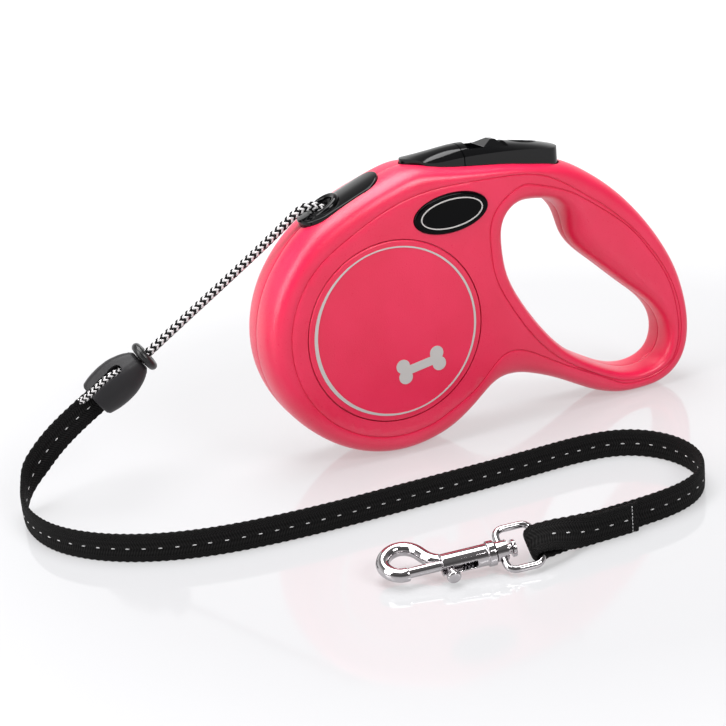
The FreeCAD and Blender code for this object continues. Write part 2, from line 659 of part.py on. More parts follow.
def brake_button():
    """Hinged button with its pivot boss and the arm that locks the reel."""
    side = prism(BUTTON_SIDE, -BRAKE_HALF_W - 1, BRAKE_HALF_W + 1)
    solid = side.common(brake_plan(0.0, 0, BIG)).common(brake_crown()).removeSplitter()
    dimple = Part.makeSphere(DIMPLE_R)
    stretch = FreeCAD.Matrix()
    stretch.A22 = DIMPLE_HALF_W / DIMPLE_R
    stretch.A33 = DIMPLE_SQUASH
    dimple = dimple.transformGeometry(stretch)
    dimple.translate(vec(DIMPLE_U, DIMPLE_V))
    solid = solid.cut(dimple).cut(slider_recess())
    hollow = Part.makeBox(16.0, 2 * (BRAKE_HALF_W - 2), 5.0, vec(48.5, 85.0, -BRAKE_HALF_W + 2))
    solid = solid.cut(hollow)
    boss = rod(vec(PIVOT_U, PIVOT_V, -BRAKE_HALF_W), vec(PIVOT_U, PIVOT_V, BRAKE_HALF_W), PIVOT_BOSS_R)
    neck = Part.makeBox(2 * PIVOT_BOSS_R - 0.6, 2 * BRAKE_HALF_W, 3.5,
                        vec(PIVOT_U - 1.6, PIVOT_V, -BRAKE_HALF_W))
    solid = solid.fuse(boss).fuse(neck).fuse(prism(ARM_SIDE, ARM_Y0, ARM_Y1))
    bore = rod(vec(PIVOT_U, PIVOT_V, -BIG), vec(PIVOT_U, PIVOT_V, BIG), PIVOT_R + RUN_GAP)
    return solid.cut(bore).removeSplitter()


def pivot_pin():
    return rod(vec(PIVOT_U, PIVOT_V, -PIVOT_HALF), vec(PIVOT_U, PIVOT_V, PIVOT_HALF), PIVOT_R)


def lock_slider():
    """Thumb slider: a thin plate with a four-sided peak."""
    half = SLIDER_L / 2
    w = SLIDER_HALF_W
    base = Part.makeBox(SLIDER_L, 2 * w, SLIDER_BASE_T, V(-half, -w, 0))
    foot = Part.makePolygon([V(-half, -w, 0.9), V(half, -w, 0.9), V(half, w, 0.9), V(-half, w, 0.9),
                             V(-half, -w, 0.9)])
    peak = Part.makePolygon([V(-0.5, -1.6, SLIDER_PEAK), V(1.2, -1.6, SLIDER_PEAK),
                             V(1.2, 1.6, SLIDER_PEAK), V(-0.5, 1.6, SLIDER_PEAK),
                             V(-0.5, -1.6, SLIDER_PEAK)])
    solid = base.fuse(Part.makeLoft([foot, peak], True, True))
    solid = soften(solid, 0.35, top_edges(solid, SLIDER_PEAK - 0.1))
    solid.rotate(V(0, 0, 0), V(0, 1, 0), -math.degrees(TOP_SLOPE))
    solid.translate(vec(SLIDER_U, SLIDER_V))
    return solid


def brake_spring():
    """Return spring between the pocket floor and the hollow of the button."""
    height = 90.0 - POCKET_BUTTON_V - 0.1
    base = vec(BRAKE_SPRING_U, POCKET_BUTTON_V + 0.05)
    return spring(BRAKE_SPRING_R, BRAKE_SPRING_WIRE, height, BRAKE_SPRING_COILS, base, V(0, 0, 1))


def screws():
    """Three slotted countersunk-pocket screws."""
    solids = []
    for u, v in SCREWS:
        shank = rod(vec(u, v, SCREW_TIP), vec(u, v, SCREW_SEAT), SCREW_R)
        head = rod(vec(u, v, SCREW_SEAT), vec(u, v, SCREW_SEAT + SCREW_HEAD_T), SCREW_HEAD_R)
        slot = Part.makeBox(2 * SCREW_HEAD_R, 1.0, SCREW_SLOT_W,
                            vec(u - SCREW_HEAD_R, v - SCREW_SLOT_W / 2, SCREW_SEAT + SCREW_HEAD_T - 0.8))
        solids.append(shank.fuse(head).cut(slot).removeSplitter())
    return Part.makeCompound(solids)


def rounded_path(points, name, tight=None):
    """Straight runs joined by tangent arcs as large as the runs allow."""
    edges = []
    radii = []
    start = points[0]
    for index in range(1, len(points) - 1):
        before = points[index - 1] - points[index]
        after = points[index + 1] - points[index]
        turn = math.pi - before.getAngle(after)
        trim_len = 0.45 * min(before.Length, after.Length)
        radius = trim_len / math.tan(turn / 2)
        if tight and index in tight:
            radius = min(radius, tight[index])
            trim_len = radius * math.tan(turn / 2)
        radii.append(round(radius, 1))
        before.normalize()
        after.normalize()
        enter = points[index] + before * trim_len
        leave = points[index] + after * trim_len
        half = (before + after).normalize()
        middle = points[index] + half * (radius / math.cos(turn / 2) - radius)
        edges.append(Part.LineSegment(start, enter).toShape())
        edges.append(Part.Arc(enter, middle, leave).toShape())
        start = leave
    edges.append(Part.LineSegment(start, points[-1]).toShape())
    print(name, "bend radii, mm:", radii)
    return Part.Wire(edges)


def report_sweep(name, solid, section_area, path):
    """Compare the solid's volume with its section times its length."""
    expected = section_area * path.Length
    print(name, "length %.1f, volume %.1f, section x length %.1f" % (path.Length, solid.Volume, expected))


def tube(points, radius, name, tight=None):
    """Round tube along a rounded path."""
    path = rounded_path(points, name, tight)
    tangent = points[1] - points[0]
    section = Part.Wire(Part.makeCircle(radius, points[0], tangent))
    solid = path.makePipeShell([section], True, False)
    report_sweep(name, solid, math.pi * radius ** 2, path)
    return solid


def leash_cord():
    """Cord from the coil, through the guide and over its lip, to the connector."""
    return tube(route(CORD_ROUTE), CORD_R, "leash_cord", {3: LIP_BEND_R})


def connector_axes():
    """Top point, direction to the strap, width direction and thickness direction."""
    top = vec(CONN_TOP[0], CONN_TOP[2], CONN_TOP[1])
    along = V(*CONN_DIR).normalize()
    thick = (V(0, 1, 0) - along * along.y).normalize()
    wide = along.cross(thick)
    return top, along, wide, thick


def connector_box(s0, s1, w0, w1, half_t):
    """Box in the connector's own directions."""
    top, along, wide, thick = connector_axes()
    corner = top + along * s0 + wide * w0 - thick * half_t
    corners = [corner, corner + wide * (w1 - w0), corner + wide * (w1 - w0) + along * (s1 - s0),
               corner + along * (s1 - s0), corner]
    return Part.Face(Part.makePolygon(corners)).extrude(thick * (2 * half_t))


def connector():
    """Egg-shaped cap that joins the cord to the strap."""
    top, along, wide, thick = connector_axes()
    wires = []
    for s, half_w, half_t in CONN_SECTIONS:
        turn = FreeCAD.Rotation(wide, thick, along, "ZXY")
        ring = Part.Ellipse(V(0, 0, 0), half_w, half_t).toShape()
        ring.Placement = FreeCAD.Placement(top + along * s, turn)
        wires.append(Part.Wire(ring))
    solid = Part.makeLoft(wires, True, False, False, 3)
    bore = Part.makeCylinder(CONN_BORE_R, CONN_BORE_L + 5, top - along * 5, along)
    end = CONN_SECTIONS[-1][0]
    mouth = connector_box(end - CONN_MOUTH_L, end + 5, -CONN_MOUTH_W / 2, CONN_MOUTH_W / 2, CONN_MOUTH_T / 2)
    slot = connector_box(CONN_SLOT_S0, end + 5, -12.0, -CONN_SLOT_FLOOR, CONN_SLOT_W / 2)
    inner = connector_box(CONN_SLOT_S0 - 3, CONN_SLOT_S0 + 4, -4.2, 0, CONN_SLOT_W / 2)
    return solid.cut(bore).cut(mouth).cut(slot).cut(inner)


def stop_ring():
    top, along, wide, thick = connector_axes()
    return Part.makeTorus(RING_MAJOR, RING_MINOR, top + along * RING_S, along)


def cord_loop():
    """End of the cord: out of the slot and back into the end of the strap."""
    top, along, wide, thick = connector_axes()
    points = [top + along * s + wide * w for s, w in LOOP_ROUTE]
    return tube(points, LOOP_R, "cord_loop")


def webbing_strap():
    """Flat strap standing on its edge, from the connector to the folded end."""
    points = route(STRAP_ROUTE)
    path = rounded_path(points, "webbing_strap")
    along = (points[1] - points[0]).normalize()
    up = V(0, 0, 1)
    across = along.cross(up).normalize()
    half_w = up * (STRAP_W / 2)
    half_t = across * (STRAP_T / 2)
    start = points[0]
    corners = [start - half_w - half_t, start + half_w - half_t, start + half_w + half_t,
               start - half_w + half_t, start - half_w - half_t]
    sweep = Part.BRepOffsetAPI.MakePipeShell(path)
    sweep.setBiNormalMode(up)
    sweep.add(Part.makePolygon(corners))
    sweep.build()
    sweep.makeSolid()
    solid = sweep.shape()
    report_sweep("webbing_strap", solid, STRAP_W * STRAP_T, path)
    return solid


def hook_axes(tilt):
    """Hook origin, direction to the eye and the sideways direction at a tilt."""
    origin = vec(HOOK_AT[0], HOOK_AT[2], HOOK_AT[1])
    along = V(*HOOK_DIR).normalize()
    back = (V(0, 1, 0) - along * along.y).normalize()
    up = back.cross(along).normalize()
    if up.z < 0:
        up = up * -1
    side = back * math.cos(tilt) + up * math.sin(tilt)
    return origin, along, side.normalize()


def on_hook(a, b, tilt):
    origin, along, side = hook_axes(tilt)
    return origin + along * a + side * b


def eye_rod():
    """Round eye that grows out of the barrel and ends in line with the bolt's tip."""
    points = [on_hook(a, b, EYE_TILT) for a, b in EYE_LINE]
    line = Part.BSplineCurve()
    line.interpolate(points)
    start = line.tangent(line.FirstParameter)[0]
    section = Part.Wire(Part.makeCircle(EYE_ROD_R, points[0], start).Edges)
    return Part.Wire(line.toShape()).makePipeShell([section], True, False)


def hook_body():
    """Barrel with its slot, the eye and the swivel pin."""
    origin, along, side = hook_axes(EYE_TILT)
    barrel = rod(origin, origin + along * BARREL_L, BARREL_R)
    lip = rod(origin, origin + along * BARREL_LIP_L, BARREL_LIP_R)
    body = barrel.fuse(lip)
    body = body.fuse(eye_rod())
    pin = rod(origin + along * SWIVEL_PIN_END, origin + along * 0.5, SWIVEL_PIN_R)
    head = rod(origin + along * (SWIVEL_PIN_END - SWIVEL_HEAD_T), origin + along * SWIVEL_PIN_END,
               SWIVEL_HEAD_R)
    body = body.fuse(pin).fuse(head)
    bore = rod(origin + along * BARREL_FLOOR, origin + along * (BOLT_A1 + 0.4), BARREL_BORE_R)
    normal = along.cross(side).normalize()
    corner = origin + along * SLOT_A0 - normal * (SLOT_W / 2)
    far = BARREL_L + 1.0 - SLOT_A0
    base = Part.makePolygon([corner, corner + along * far, corner + along * far + normal * SLOT_W,
                             corner + normal * SLOT_W, corner])
    slot = Part.Face(base).extrude(side * -8.0)
    return body.cut(bore).cut(slot).removeSplitter()


def hook_bolt():
    """Sliding bolt with its thumb knob."""
    start = on_hook(BOLT_A0, 0, EYE_TILT)
    end = on_hook(BOLT_A1, 0, EYE_TILT)
    knob_root = on_hook(KNOB_A, 0, EYE_TILT)
    stem_end = on_hook(KNOB_A, -KNOB_STEM_L, EYE_TILT)
    knob_end = on_hook(KNOB_A, -KNOB_STEM_L - KNOB_T, EYE_TILT)
    knob = rod(stem_end, knob_end, KNOB_R)
    knob = soften(knob, 0.7, knob.Edges)
    body = rod(start, end, BOLT_R).fuse(rod(knob_root, stem_end, KNOB_STEM_R)).fuse(knob)
    return body.removeSplitter()


def bolt_spring():
    origin, along, side = hook_axes(EYE_TILT)
    height = BOLT_A0 - BARREL_FLOOR - 0.1
    base = origin + along * (BARREL_FLOOR + 0.05)
    return spring(BOLT_SPRING_R, BOLT_SPRING_WIRE, height, BOLT_SPRING_COILS, base, along)


def swivel_eye():
    """Four-sided loop for the strap, with the boss that the hook turns in."""
    origin, along, side = hook_axes(LOOP_TILT)
    bar_a = (SWIVEL_BOSS_A0 + SWIVEL_BOSS_A1) / 2
    corners = [on_hook(bar_a, -DLOOP_HALF, LOOP_TILT), on_hook(bar_a, DLOOP_HALF, LOOP_TILT),
               on_hook(DLOOP_END_A, DLOOP_HALF, LOOP_TILT), on_hook(DLOOP_END_A, -DLOOP_HALF, LOOP_TILT)]
    body = rod(origin + along * SWIVEL_BOSS_A1, origin + along * SWIVEL_BOSS_A0, SWIVEL_BOSS_R)
    for first, second in zip(corners, corners[1:] + corners[:1]):
        body = body.fuse(rod(first, second, DLOOP_ROD_R))
        body = body.fuse(Part.makeSphere(DLOOP_ROD_R, first))
    bore = rod(origin + along * -6, origin + along * 2, SWIVEL_PIN_R + RUN_GAP)
    return body.cut(bore).removeSplitter()


def strap_end():
    """Doubled end of the strap, folded round the bar of the swivel eye."""
    origin, along, side = hook_axes(LOOP_TILT)
    normal = along.cross(side).normalize()
    bar = on_hook(DLOOP_END_A, 0, LOOP_TILT)
    inner = DLOOP_ROD_R + FOLD_CLEAR
    outer = inner + STRAP_T
    foot = bar - side * (STRAP_W / 2 + FOLD_EDGE)
    fold = Part.makeCylinder(outer, STRAP_W + 2 * FOLD_EDGE, foot, side)
    half_w = side * (STRAP_W / 2)
    half_t = normal * (outer - FOLD_LAP)
    near = [bar - half_w - half_t, bar + half_w - half_t, bar + half_w + half_t, bar - half_w + half_t]
    tail = route(STRAP_ROUTE)[-1]
    heading = (route(STRAP_ROUTE)[-2] - tail).normalize()
    across = heading.cross(V(0, 0, 1)).normalize()
    if across.dot(normal) < 0:
        across = across * -1
    flat_w = V(0, 0, STRAP_W / 2)
    flat_t = across * (STRAP_END_T / 2)
    base = tail - heading * 0.05
    end = [base - flat_w - flat_t, base + flat_w - flat_t, base + flat_w + flat_t, base - flat_w + flat_t]
    plies = Part.makeLoft([Part.makePolygon(near + near[:1]), Part.makePolygon(end + end[:1])], True, True)
    body = fold.fuse(plies)
    hole = Part.makeCylinder(inner, 3 * STRAP_W, bar - side * (1.5 * STRAP_W), side)
    return body.cut(hole)


NODES = {
    "front_shell": lambda: half_shell(-1),
    "rear_shell": lambda: half_shell(1),
    "front_disc": lambda: face_disc(-1),
    "rear_disc": lambda: face_disc(1),
    "front_badge": lambda: badge(-1),
    "rear_badge": lambda: badge(1),
    "front_trim": lambda: trim(-1),
    "rear_trim": lambda: trim(1),
    "axle": axle,
    "reel": reel,
    "spring_cover": spring_cover,
    "clock_spring": clock_spring,
    "wound_cord": wound_cord,
    "brake_cover": brake_cover,
    "brake_button": brake_button,
    "pivot_pin": pivot_pin,
    "lock_slider": lock_slider,
    "brake_spring": brake_spring,
    "cord_guide": cord_guide,
    "housing_screws": screws,
    "leash_cord": leash_cord,
    "stop_ring": stop_ring,
    "connector": connector,
    "cord_loop": cord_loop,
    "webbing_strap": webbing_strap,
    "strap_end": strap_end,
    "swivel_eye": swivel_eye,
    "hook_body": hook_body,
    "hook_bolt": hook_bolt,
    "bolt_spring": bolt_spring,
}

for node, make in NODES.items():
    shape = make()
    box = shape.BoundBox
    size = (box.XMin, box.XMax, box.YMin, box.YMax, box.ZMin, box.ZMax)
    print("%-15s solids %d valid %s" % (node, len(shape.Solids), shape.isValid()),
          "x %.1f %.1f y %.1f %.1f z %.1f %.1f" % size)
    shape.exportStep("parts/%s.step" % node)
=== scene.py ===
import math

import bmesh
import bpy
import numpy as np
from mathutils import Matrix, Vector
from mathutils.geometry import delaunay_2d_cdt


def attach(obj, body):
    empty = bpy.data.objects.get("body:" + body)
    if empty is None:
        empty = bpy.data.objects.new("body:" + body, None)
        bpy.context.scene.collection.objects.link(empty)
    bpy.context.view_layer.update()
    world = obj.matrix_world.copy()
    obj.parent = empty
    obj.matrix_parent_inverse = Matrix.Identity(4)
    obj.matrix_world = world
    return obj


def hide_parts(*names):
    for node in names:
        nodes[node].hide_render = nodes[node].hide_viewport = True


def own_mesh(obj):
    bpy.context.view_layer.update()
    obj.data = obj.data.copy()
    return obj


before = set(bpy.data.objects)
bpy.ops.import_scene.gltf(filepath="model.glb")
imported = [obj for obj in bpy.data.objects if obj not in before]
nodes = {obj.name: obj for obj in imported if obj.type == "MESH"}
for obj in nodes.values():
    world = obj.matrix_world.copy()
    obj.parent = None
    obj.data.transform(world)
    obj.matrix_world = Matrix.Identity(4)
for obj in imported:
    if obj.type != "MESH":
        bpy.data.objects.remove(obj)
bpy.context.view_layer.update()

MM = 0.001
DRUM_X = -35.2
DRUM_Z = 43.45


def at(u, y, z):
    """Point at u from the drum axis, y in depth and z above the floor, given in millimetres."""
    return Vector(((u + DRUM_X) * MM, y * MM, z * MM))


def link(obj):
    """Put a new object in the scene."""
    bpy.context.scene.collection.objects.link(obj)


# ---- camera

CAMERA_AT = (-0.2072, -0.4440, 0.1970)
CAMERA_AZ = math.radians(-20.27)
CAMERA_EL = math.radians(19.34)
CAMERA_ROLL = math.radians(-5.825)
CAMERA_LENS = 74.95


def make_camera():
    """Camera at the photograph's viewing angle."""
    data = bpy.data.cameras.new("camera")
    data.sensor_width = 36.0
    data.lens = CAMERA_LENS
    data.clip_start = 0.01
    data.clip_end = 50.0
    cam = bpy.data.objects.new("camera", data)
    link(cam)
    ca, sa = math.cos(CAMERA_AZ), math.sin(CAMERA_AZ)
    ce, se = math.cos(CAMERA_EL), math.sin(CAMERA_EL)
    back = Vector((sa * ce, -ca * ce, se))
    right = Vector((ca, sa, 0.0))
    up = back.cross(right)
    cr, sr = math.cos(CAMERA_ROLL), math.sin(CAMERA_ROLL)
    x_axis = right * cr + up * sr
    y_axis = up * cr - right * sr
    turn = Matrix((x_axis, y_axis, back)).transposed()
    cam.matrix_world = Matrix.Translation(CAMERA_AT) @ turn.to_4x4()
    bpy.context.scene.camera = cam


make_camera()

# ---- centre lines

CORD_ROUTE = ((-3.0, 0.0, 79.55), (-10.6, 0.0, 79.2), (-15.2, 0.0, 84.6), (-22.0, 0.35, 87.6),
              (-31.0, 2.1, 80.1), (-47.5, 6.3, 67.3), (-63.5, 10.4, 55.2), (-79.7, 14.1, 43.0))
STRAP_Z = 4.6
STRAP_DROP = ((-92.6, 14.9, 34.4), (-102.5, 17.9, 27.2), (-112.0, 20.6, 18.6), (-119.9, 19.9, 9.9))
STRAP_ON_FLOOR = ((-124.3, 10.0), (-123.9, -5.2), (-119.3, -19.6), (-109.2, -32.6), (-94.4, -42.8),
                  (-75.0, -49.3), (-48.0, -51.9), (-12.0, -51.5), (22.0, -51.0), (45.0, -49.8),
                  (58.6, -52.8), (67.2, -62.2), (69.7, -75.0), (65.6, -88.0), (55.0, -96.8),
                  (39.0, -100.2), (20.0, -100.4))
CONN_TOP = (-78.9, 14.0, 43.5)
CONN_DIR = (-0.838, 0.06, -0.543)
LOOP_ROUTE = ((4.2, -0.9, -0.8), (8.2, -3.9, -3.2), (13.4, -4.4, -3.6), (18.0, -3.9, -3.2),
              (21.4, -3.5, -1.9), (22.6, -3.4, -0.7))


def spline_points(points, name):
    """Points along the NURBS line that has these control points."""
    curve = bpy.data.curves.new(name, "CURVE")
    curve.dimensions = "3D"
    curve.resolution_u = 24
    spline = curve.splines.new("NURBS")
    spline.points.add(len(points) - 1)
    for spot, place in zip(spline.points, points):
        spot.co = (*place, 1.0)
    spline.order_u = 3
    spline.use_endpoint_u = True
    holder = bpy.data.objects.new(name, curve)
    link(holder)
    depsgraph = bpy.context.evaluated_depsgraph_get()
    mesh = bpy.data.meshes.new_from_object(holder.evaluated_get(depsgraph))
    line = [v.co.copy() for v in mesh.vertices]
    bpy.data.meshes.remove(mesh)
    bpy.data.objects.remove(holder)
    bpy.data.curves.remove(curve)
    return line


def distances(pts):
    """Distance along a line at each of its points."""
    runs = np.linalg.norm(np.diff(pts, axis=0), axis=1)
    return np.concatenate(([0.0], np.cumsum(runs)))


def resampled(rows, along, marks):
    """Rows of values known at one set of distances, read off at another."""
    return np.stack([np.interp(marks, along, rows[:, k]) for k in range(rows.shape[1])], axis=1)


def even_line(line, step):
    """The same line at even steps, with the distance along it."""
    pts = np.array([tuple(p) for p in line])
    along = distances(pts)
    count = max(2, int(round(along[-1] / step)) + 1)
    marks = np.linspace(0.0, along[-1], count)
    return resampled(pts, along, marks), marks


def unit(rows):
    """Rows scaled to unit length."""
    return rows / np.linalg.norm(rows, axis=-1, keepdims=True)


def tangents(pts):
    """Unit direction of a line at each of its points."""
    return unit(np.gradient(pts, axis=0))


def carried_frame(pts, first_side):
    """Side and up directions along a line, carried without twist."""
    tan = tangents(pts)
    side = np.zeros_like(pts)
    s = np.array(first_side, float)
    for i, t in enumerate(tan):
        s = s - t * np.dot(s, t)
        s = s / np.linalg.norm(s)
        side[i] = s
    return side, np.cross(tan, side)


cord_line = spline_points([at(*p) for p in CORD_ROUTE], "cord_line")
strap_route = [at(*p) for p in STRAP_DROP] + [at(u, y, STRAP_Z) for u, y in STRAP_ON_FLOOR]
strap_line = spline_points(strap_route, "strap_line")

# ---- mesh helpers


def new_object(name, verts, faces, smooth=True):
    """Mesh object from plain lists of points and faces."""
    mesh = bpy.data.meshes.new(name)
    mesh.from_pydata([tuple(v) for v in verts], [], [tuple(int(i) for i in f) for f in faces])
    mesh.validate()
    if smooth:
        mesh.shade_smooth()
    obj = bpy.data.objects.new(name, mesh)
    link(obj)
    return obj


def grid_faces(rows, cols, wrap):
    """Quads of a grid of points; wrap joins the last column to the first."""
    r = np.arange(rows - 1)[:, None]
    c = np.arange(cols if wrap else cols - 1)[None, :]
    nxt = (c + 1) % cols
    corners = [r * cols + c, r * cols + nxt, (r + 1) * cols + nxt, (r + 1) * cols + c]
    quads = np.stack(corners, axis=-1)
    return quads.reshape(-1, 4).tolist()


def capped_grid(rows, cols):
    """Quads of a grid that wraps, with one face over each open end."""
    last = (rows - 1) * cols
    return grid_faces(rows, cols, True) + [list(range(cols))[::-1], list(range(last, last + cols))]


def join_parts(name, parts):
    """One object from several (verts, faces) parts."""
    verts = []
    faces = []
    for part_verts, part_faces in parts:
        base = len(verts)
        verts.extend(tuple(v) for v in part_verts)
        faces.extend([i + base for i in f] for f in part_faces)
    return new_object(name, verts, faces)


def tube_part(pts, side, up, radius, sides=10):
    """Round tube round a line; radius may vary along it."""
    radius = np.broadcast_to(np.asarray(radius, float), (len(pts),))
    angle = np.linspace(0, 2 * math.pi, sides, endpoint=False)
    across = side[:, None, :] * np.cos(angle)[None, :, None]
    ring = across + up[:, None, :] * np.sin(angle)[None, :, None]
    verts = (pts[:, None, :] + ring * radius[:, None, None]).reshape(-1, 3)
    return verts, capped_grid(len(pts), sides)


def stand_in(obj, node, body="housing"):
    """Let an object ride a body in place of a CAD node."""
    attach(obj, body)
    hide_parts(node)


def smooth_below(obj, degrees):
    """Smooth shading, with edges sharper than an angle kept sharp."""
    for poly in obj.data.polygons:
        poly.use_smooth = True
    obj.data.set_sharp_from_angle(angle=math.radians(degrees))


def bevelled(obj, width, degrees):
    """Small round bevel on edges sharper than an angle."""
    bevel = obj.modifiers.new("edge", "BEVEL")
    bevel.width = width
    bevel.segments = 3
    bevel.limit_method = "ANGLE"
    bevel.angle_limit = math.radians(degrees)
    return bevel


# ---- materials


def srgb(r, g, b):
    """Linear colour from 0-255 screen values."""
    out = []
    for c in (r, g, b):
        c = c / 255.0
        out.append(c / 12.92 if c <= 0.04045 else ((c + 0.055) / 1.055) ** 2.4)
    return (*out, 1.0)


class Nodes:
    """Small helper that adds linked shader nodes to one material."""

    def __init__(self, name):
        self.mat = bpy.data.materials.new(name)
        self.mat.use_nodes = True
        self.tree = self.mat.node_tree
        self.shader = self.tree.nodes["Principled BSDF"]

    def feed(self, socket, value):
        """Link a node's output to a socket, or set the socket to a plain value."""
        if isinstance(value, bpy.types.NodeSocket):
            self.tree.links.new(value, socket)
        else:
            socket.default_value = value

    def add(self, kind, **values):
        node = self.tree.nodes.new(kind)
        for key, value in values.items():
            if key in node.inputs:
                self.feed(node.inputs[key], value)
            else:
                setattr(node, key, value)
        return node

    def set(self, **values):
        for key, value in values.items():
            self.feed(self.shader.inputs[key.replace("_", " ")], value)

    def coords(self):
        return self.add("ShaderNodeTexCoord").outputs["Object"]

    def noise(self, vector, scale, detail=3.0, rough=0.5):
        values = {"Vector": vector, "Scale": scale, "Detail": detail, "Roughness": rough}
        return self.add("ShaderNodeTexNoise", **values).outputs["Fac"]

    def ramp(self, fac, low, high, a, b):
        """Map fac from low..high to a..b."""
        node = self.add("ShaderNodeMapRange", Value=fac)
        for label, value in (("From Min", low), ("From Max", high), ("To Min", a), ("To Max", b)):
            node.inputs[label].default_value = value
        return node.outputs["Result"]

    def mix(self, fac, a, b):
        node = self.add("ShaderNodeMix", data_type="RGBA")
        for index, value in ((0, fac), (6, a), (7, b)):
            self.feed(node.inputs[index], value)
        return node.outputs[2]

    def math(self, operation, a, b=0.0):
        node = self.add("ShaderNodeMath", operation=operation)
        for index, value in enumerate((a, b)):
            self.feed(node.inputs[index], value)
        return node.outputs["Value"]

    def bump(self, height, strength, distance):
        node = self.add("ShaderNodeBump", Height=height, Strength=strength, Distance=distance)
        return node.outputs["Normal"]


def scaled(colour, factor):
    """A linear colour scaled by a factor, still opaque."""
    return tuple(c * factor for c in colour[:3]) + (1.0,)


def red_plastic():
    """Moulded coral-red plastic with a fine grain."""
    n = Nodes("red_plastic")
    at_obj = n.coords()
    mottle = n.noise(at_obj, 60.0, 2.0)
    grain = n.noise(at_obj, 2600.0, 2.0, 0.6)
    shade = n.ramp(mottle, 0.35, 0.65, 0.0, 1.0)
    n.set(Base_Color=n.mix(shade, srgb(217, 22, 68), srgb(223, 28, 75)),
          Roughness=n.ramp(grain, 0.3, 0.7, 0.27, 0.39), Specular_IOR_Level=0.65,
          Normal=n.bump(grain, 0.45, 0.00014))
    return n.mat


def plastic(name, colour, rough_low, rough_high, grain_strength, specular=0.5):
    """Plain plastic with slight smears and grain."""
    n = Nodes(name)
    at_obj = n.coords()
    smear = n.noise(at_obj, 90.0, 4.0)
    grain = n.noise(at_obj, 2200.0, 2.0)
    n.set(Base_Color=n.mix(smear, colour, scaled(colour, 1.35)),
          Roughness=n.ramp(smear, 0.3, 0.7, rough_low, rough_high), Specular_IOR_Level=specular,
          Normal=n.bump(grain, grain_strength, 0.0001))
    return n.mat


def metal(name, colour, rough_low, rough_high, grain_scale, strength, metallic=1.0):
    """Metal, or a metal-like print, with slight smears and grain."""
    n = Nodes(name)
    at_obj = n.coords()
    smear = n.noise(at_obj, 160.0, 4.0)
    grain = n.noise(at_obj, grain_scale, 2.0)
    n.set(Base_Color=n.mix(smear, colour, scaled(colour, 0.93)),
          Roughness=n.ramp(smear, 0.3, 0.7, rough_low, rough_high), Metallic=metallic,
          Normal=n.bump(grain, strength, 0.00006))
    return n.mat


RED = red_plastic()
GLOSS = plastic("black_gloss", srgb(6, 6, 7), 0.05, 0.11, 0.03, 0.30)
# The badge black is a darker copy of the black gloss with a much weaker reflection: painted shade
# that keeps the badge faces dark where they face the front light.
BADGE = plastic("badge_gloss", srgb(3, 3, 4), 0.06, 0.12, 0.02, 0.08)
MATTE = plastic("black_matte", srgb(30, 29, 31), 0.42, 0.54, 0.3, 0.30)
RUBBER = plastic("rubber", srgb(14, 14, 15), 0.26, 0.38, 0.2)
REEL = plastic("reel_plastic", srgb(190, 188, 184), 0.35, 0.5, 0.2)
SILVER = metal("silver_print", srgb(196, 192, 190), 0.48, 0.58, 3000.0, 0.1, 0.25)
STEEL = metal("steel", srgb(176, 176, 180), 0.22, 0.34, 2500.0, 0.15)
CHROME = metal("chrome", srgb(190, 186, 188), 0.03, 0.06, 900.0, 0.05)


def fibre(name, dark, light, scale):
    """Fuzzy yarn between two tones."""
    n = Nodes(name)
    at_obj = n.coords()
    fuzz = n.noise(at_obj, scale, 3.0, 0.7)
    n.set(Base_Color=n.mix(fuzz, dark, light), Roughness=n.ramp(fuzz, 0.3, 0.7, 0.6, 0.85),
          Specular_IOR_Level=0.2, Normal=n.bump(fuzz, 0.5, 0.0001))
    return n.mat


def webbing():
    """Black twill: slanted ridges and finer rows, from the UV map in millimetres. Its colour
    follows the weave height: a painted highlight on the ridge tops and painted shade in the
    hollows.
    """
    n = Nodes("webbing")
    weave = n.add("ShaderNodeUVMap", uv_map="weave").outputs["UV"]
    parts = n.add("ShaderNodeSeparateXYZ", Vector=weave)
    u, v = parts.outputs["X"], parts.outputs["Y"]
    ridge = n.math("SINE", n.math("MULTIPLY", n.math("ADD", u, n.math("PINGPONG", v, 1.1)), 7.2))
    rows = n.math("SINE", n.math("MULTIPLY", v, 8.4))
    fuzz = n.noise(n.coords(), 2600.0, 3.0, 0.7)
    height = n.math("ADD", n.math("ADD", ridge, n.math("MULTIPLY", rows, 0.5)), fuzz)
    # painted light: colour rises with the weave height, a painted highlight on the ridge tops and
    # painted shade in the hollows
    shade = n.ramp(height, -0.6, 2.6, 0.0, 1.0)
    n.set(Base_Color=n.mix(shade, srgb(1, 1, 1), srgb(30, 29, 29)), Roughness=0.8,
          Specular_IOR_Level=0.12, Normal=n.bump(height, 0.55, 0.00016))
    return n.mat


CORD_DARK = fibre("cord_black", srgb(5, 5, 6), srgb(24, 23, 24), 3800.0)
CORD_WHITE = fibre("cord_white", srgb(196, 193, 194), srgb(226, 224, 224), 3800.0)
THREAD = fibre("white_thread", srgb(150, 149, 150), srgb(206, 205, 205), 4200.0)
WEBBING = webbing()

LOOKS = (
    (RED, "front_shell rear_shell front_disc rear_disc"),
    (BADGE, "front_badge rear_badge"),
    (SILVER, "front_trim rear_trim"),
    (GLOSS, "brake_cover brake_button lock_slider cord_guide"),
    (MATTE, "wound_cord leash_cord connector cord_loop webbing_strap strap_end"),
    (RUBBER, "stop_ring"),
    (REEL, "reel spring_cover"),
    (STEEL, "axle clock_spring pivot_pin brake_spring housing_screws bolt_spring"),
    (CHROME, "swivel_eye hook_body hook_bolt"),
)


def dress(obj, material):
    """Give the whole object one material."""
    obj.data.materials.clear()
    obj.data.materials.append(material)
    for poly in obj.data.polygons:
        poly.material_index = 0


for look, node_names in LOOKS:
    for node_name in node_names.split():
        dress(nodes[node_name], look)

# ---- housing shells

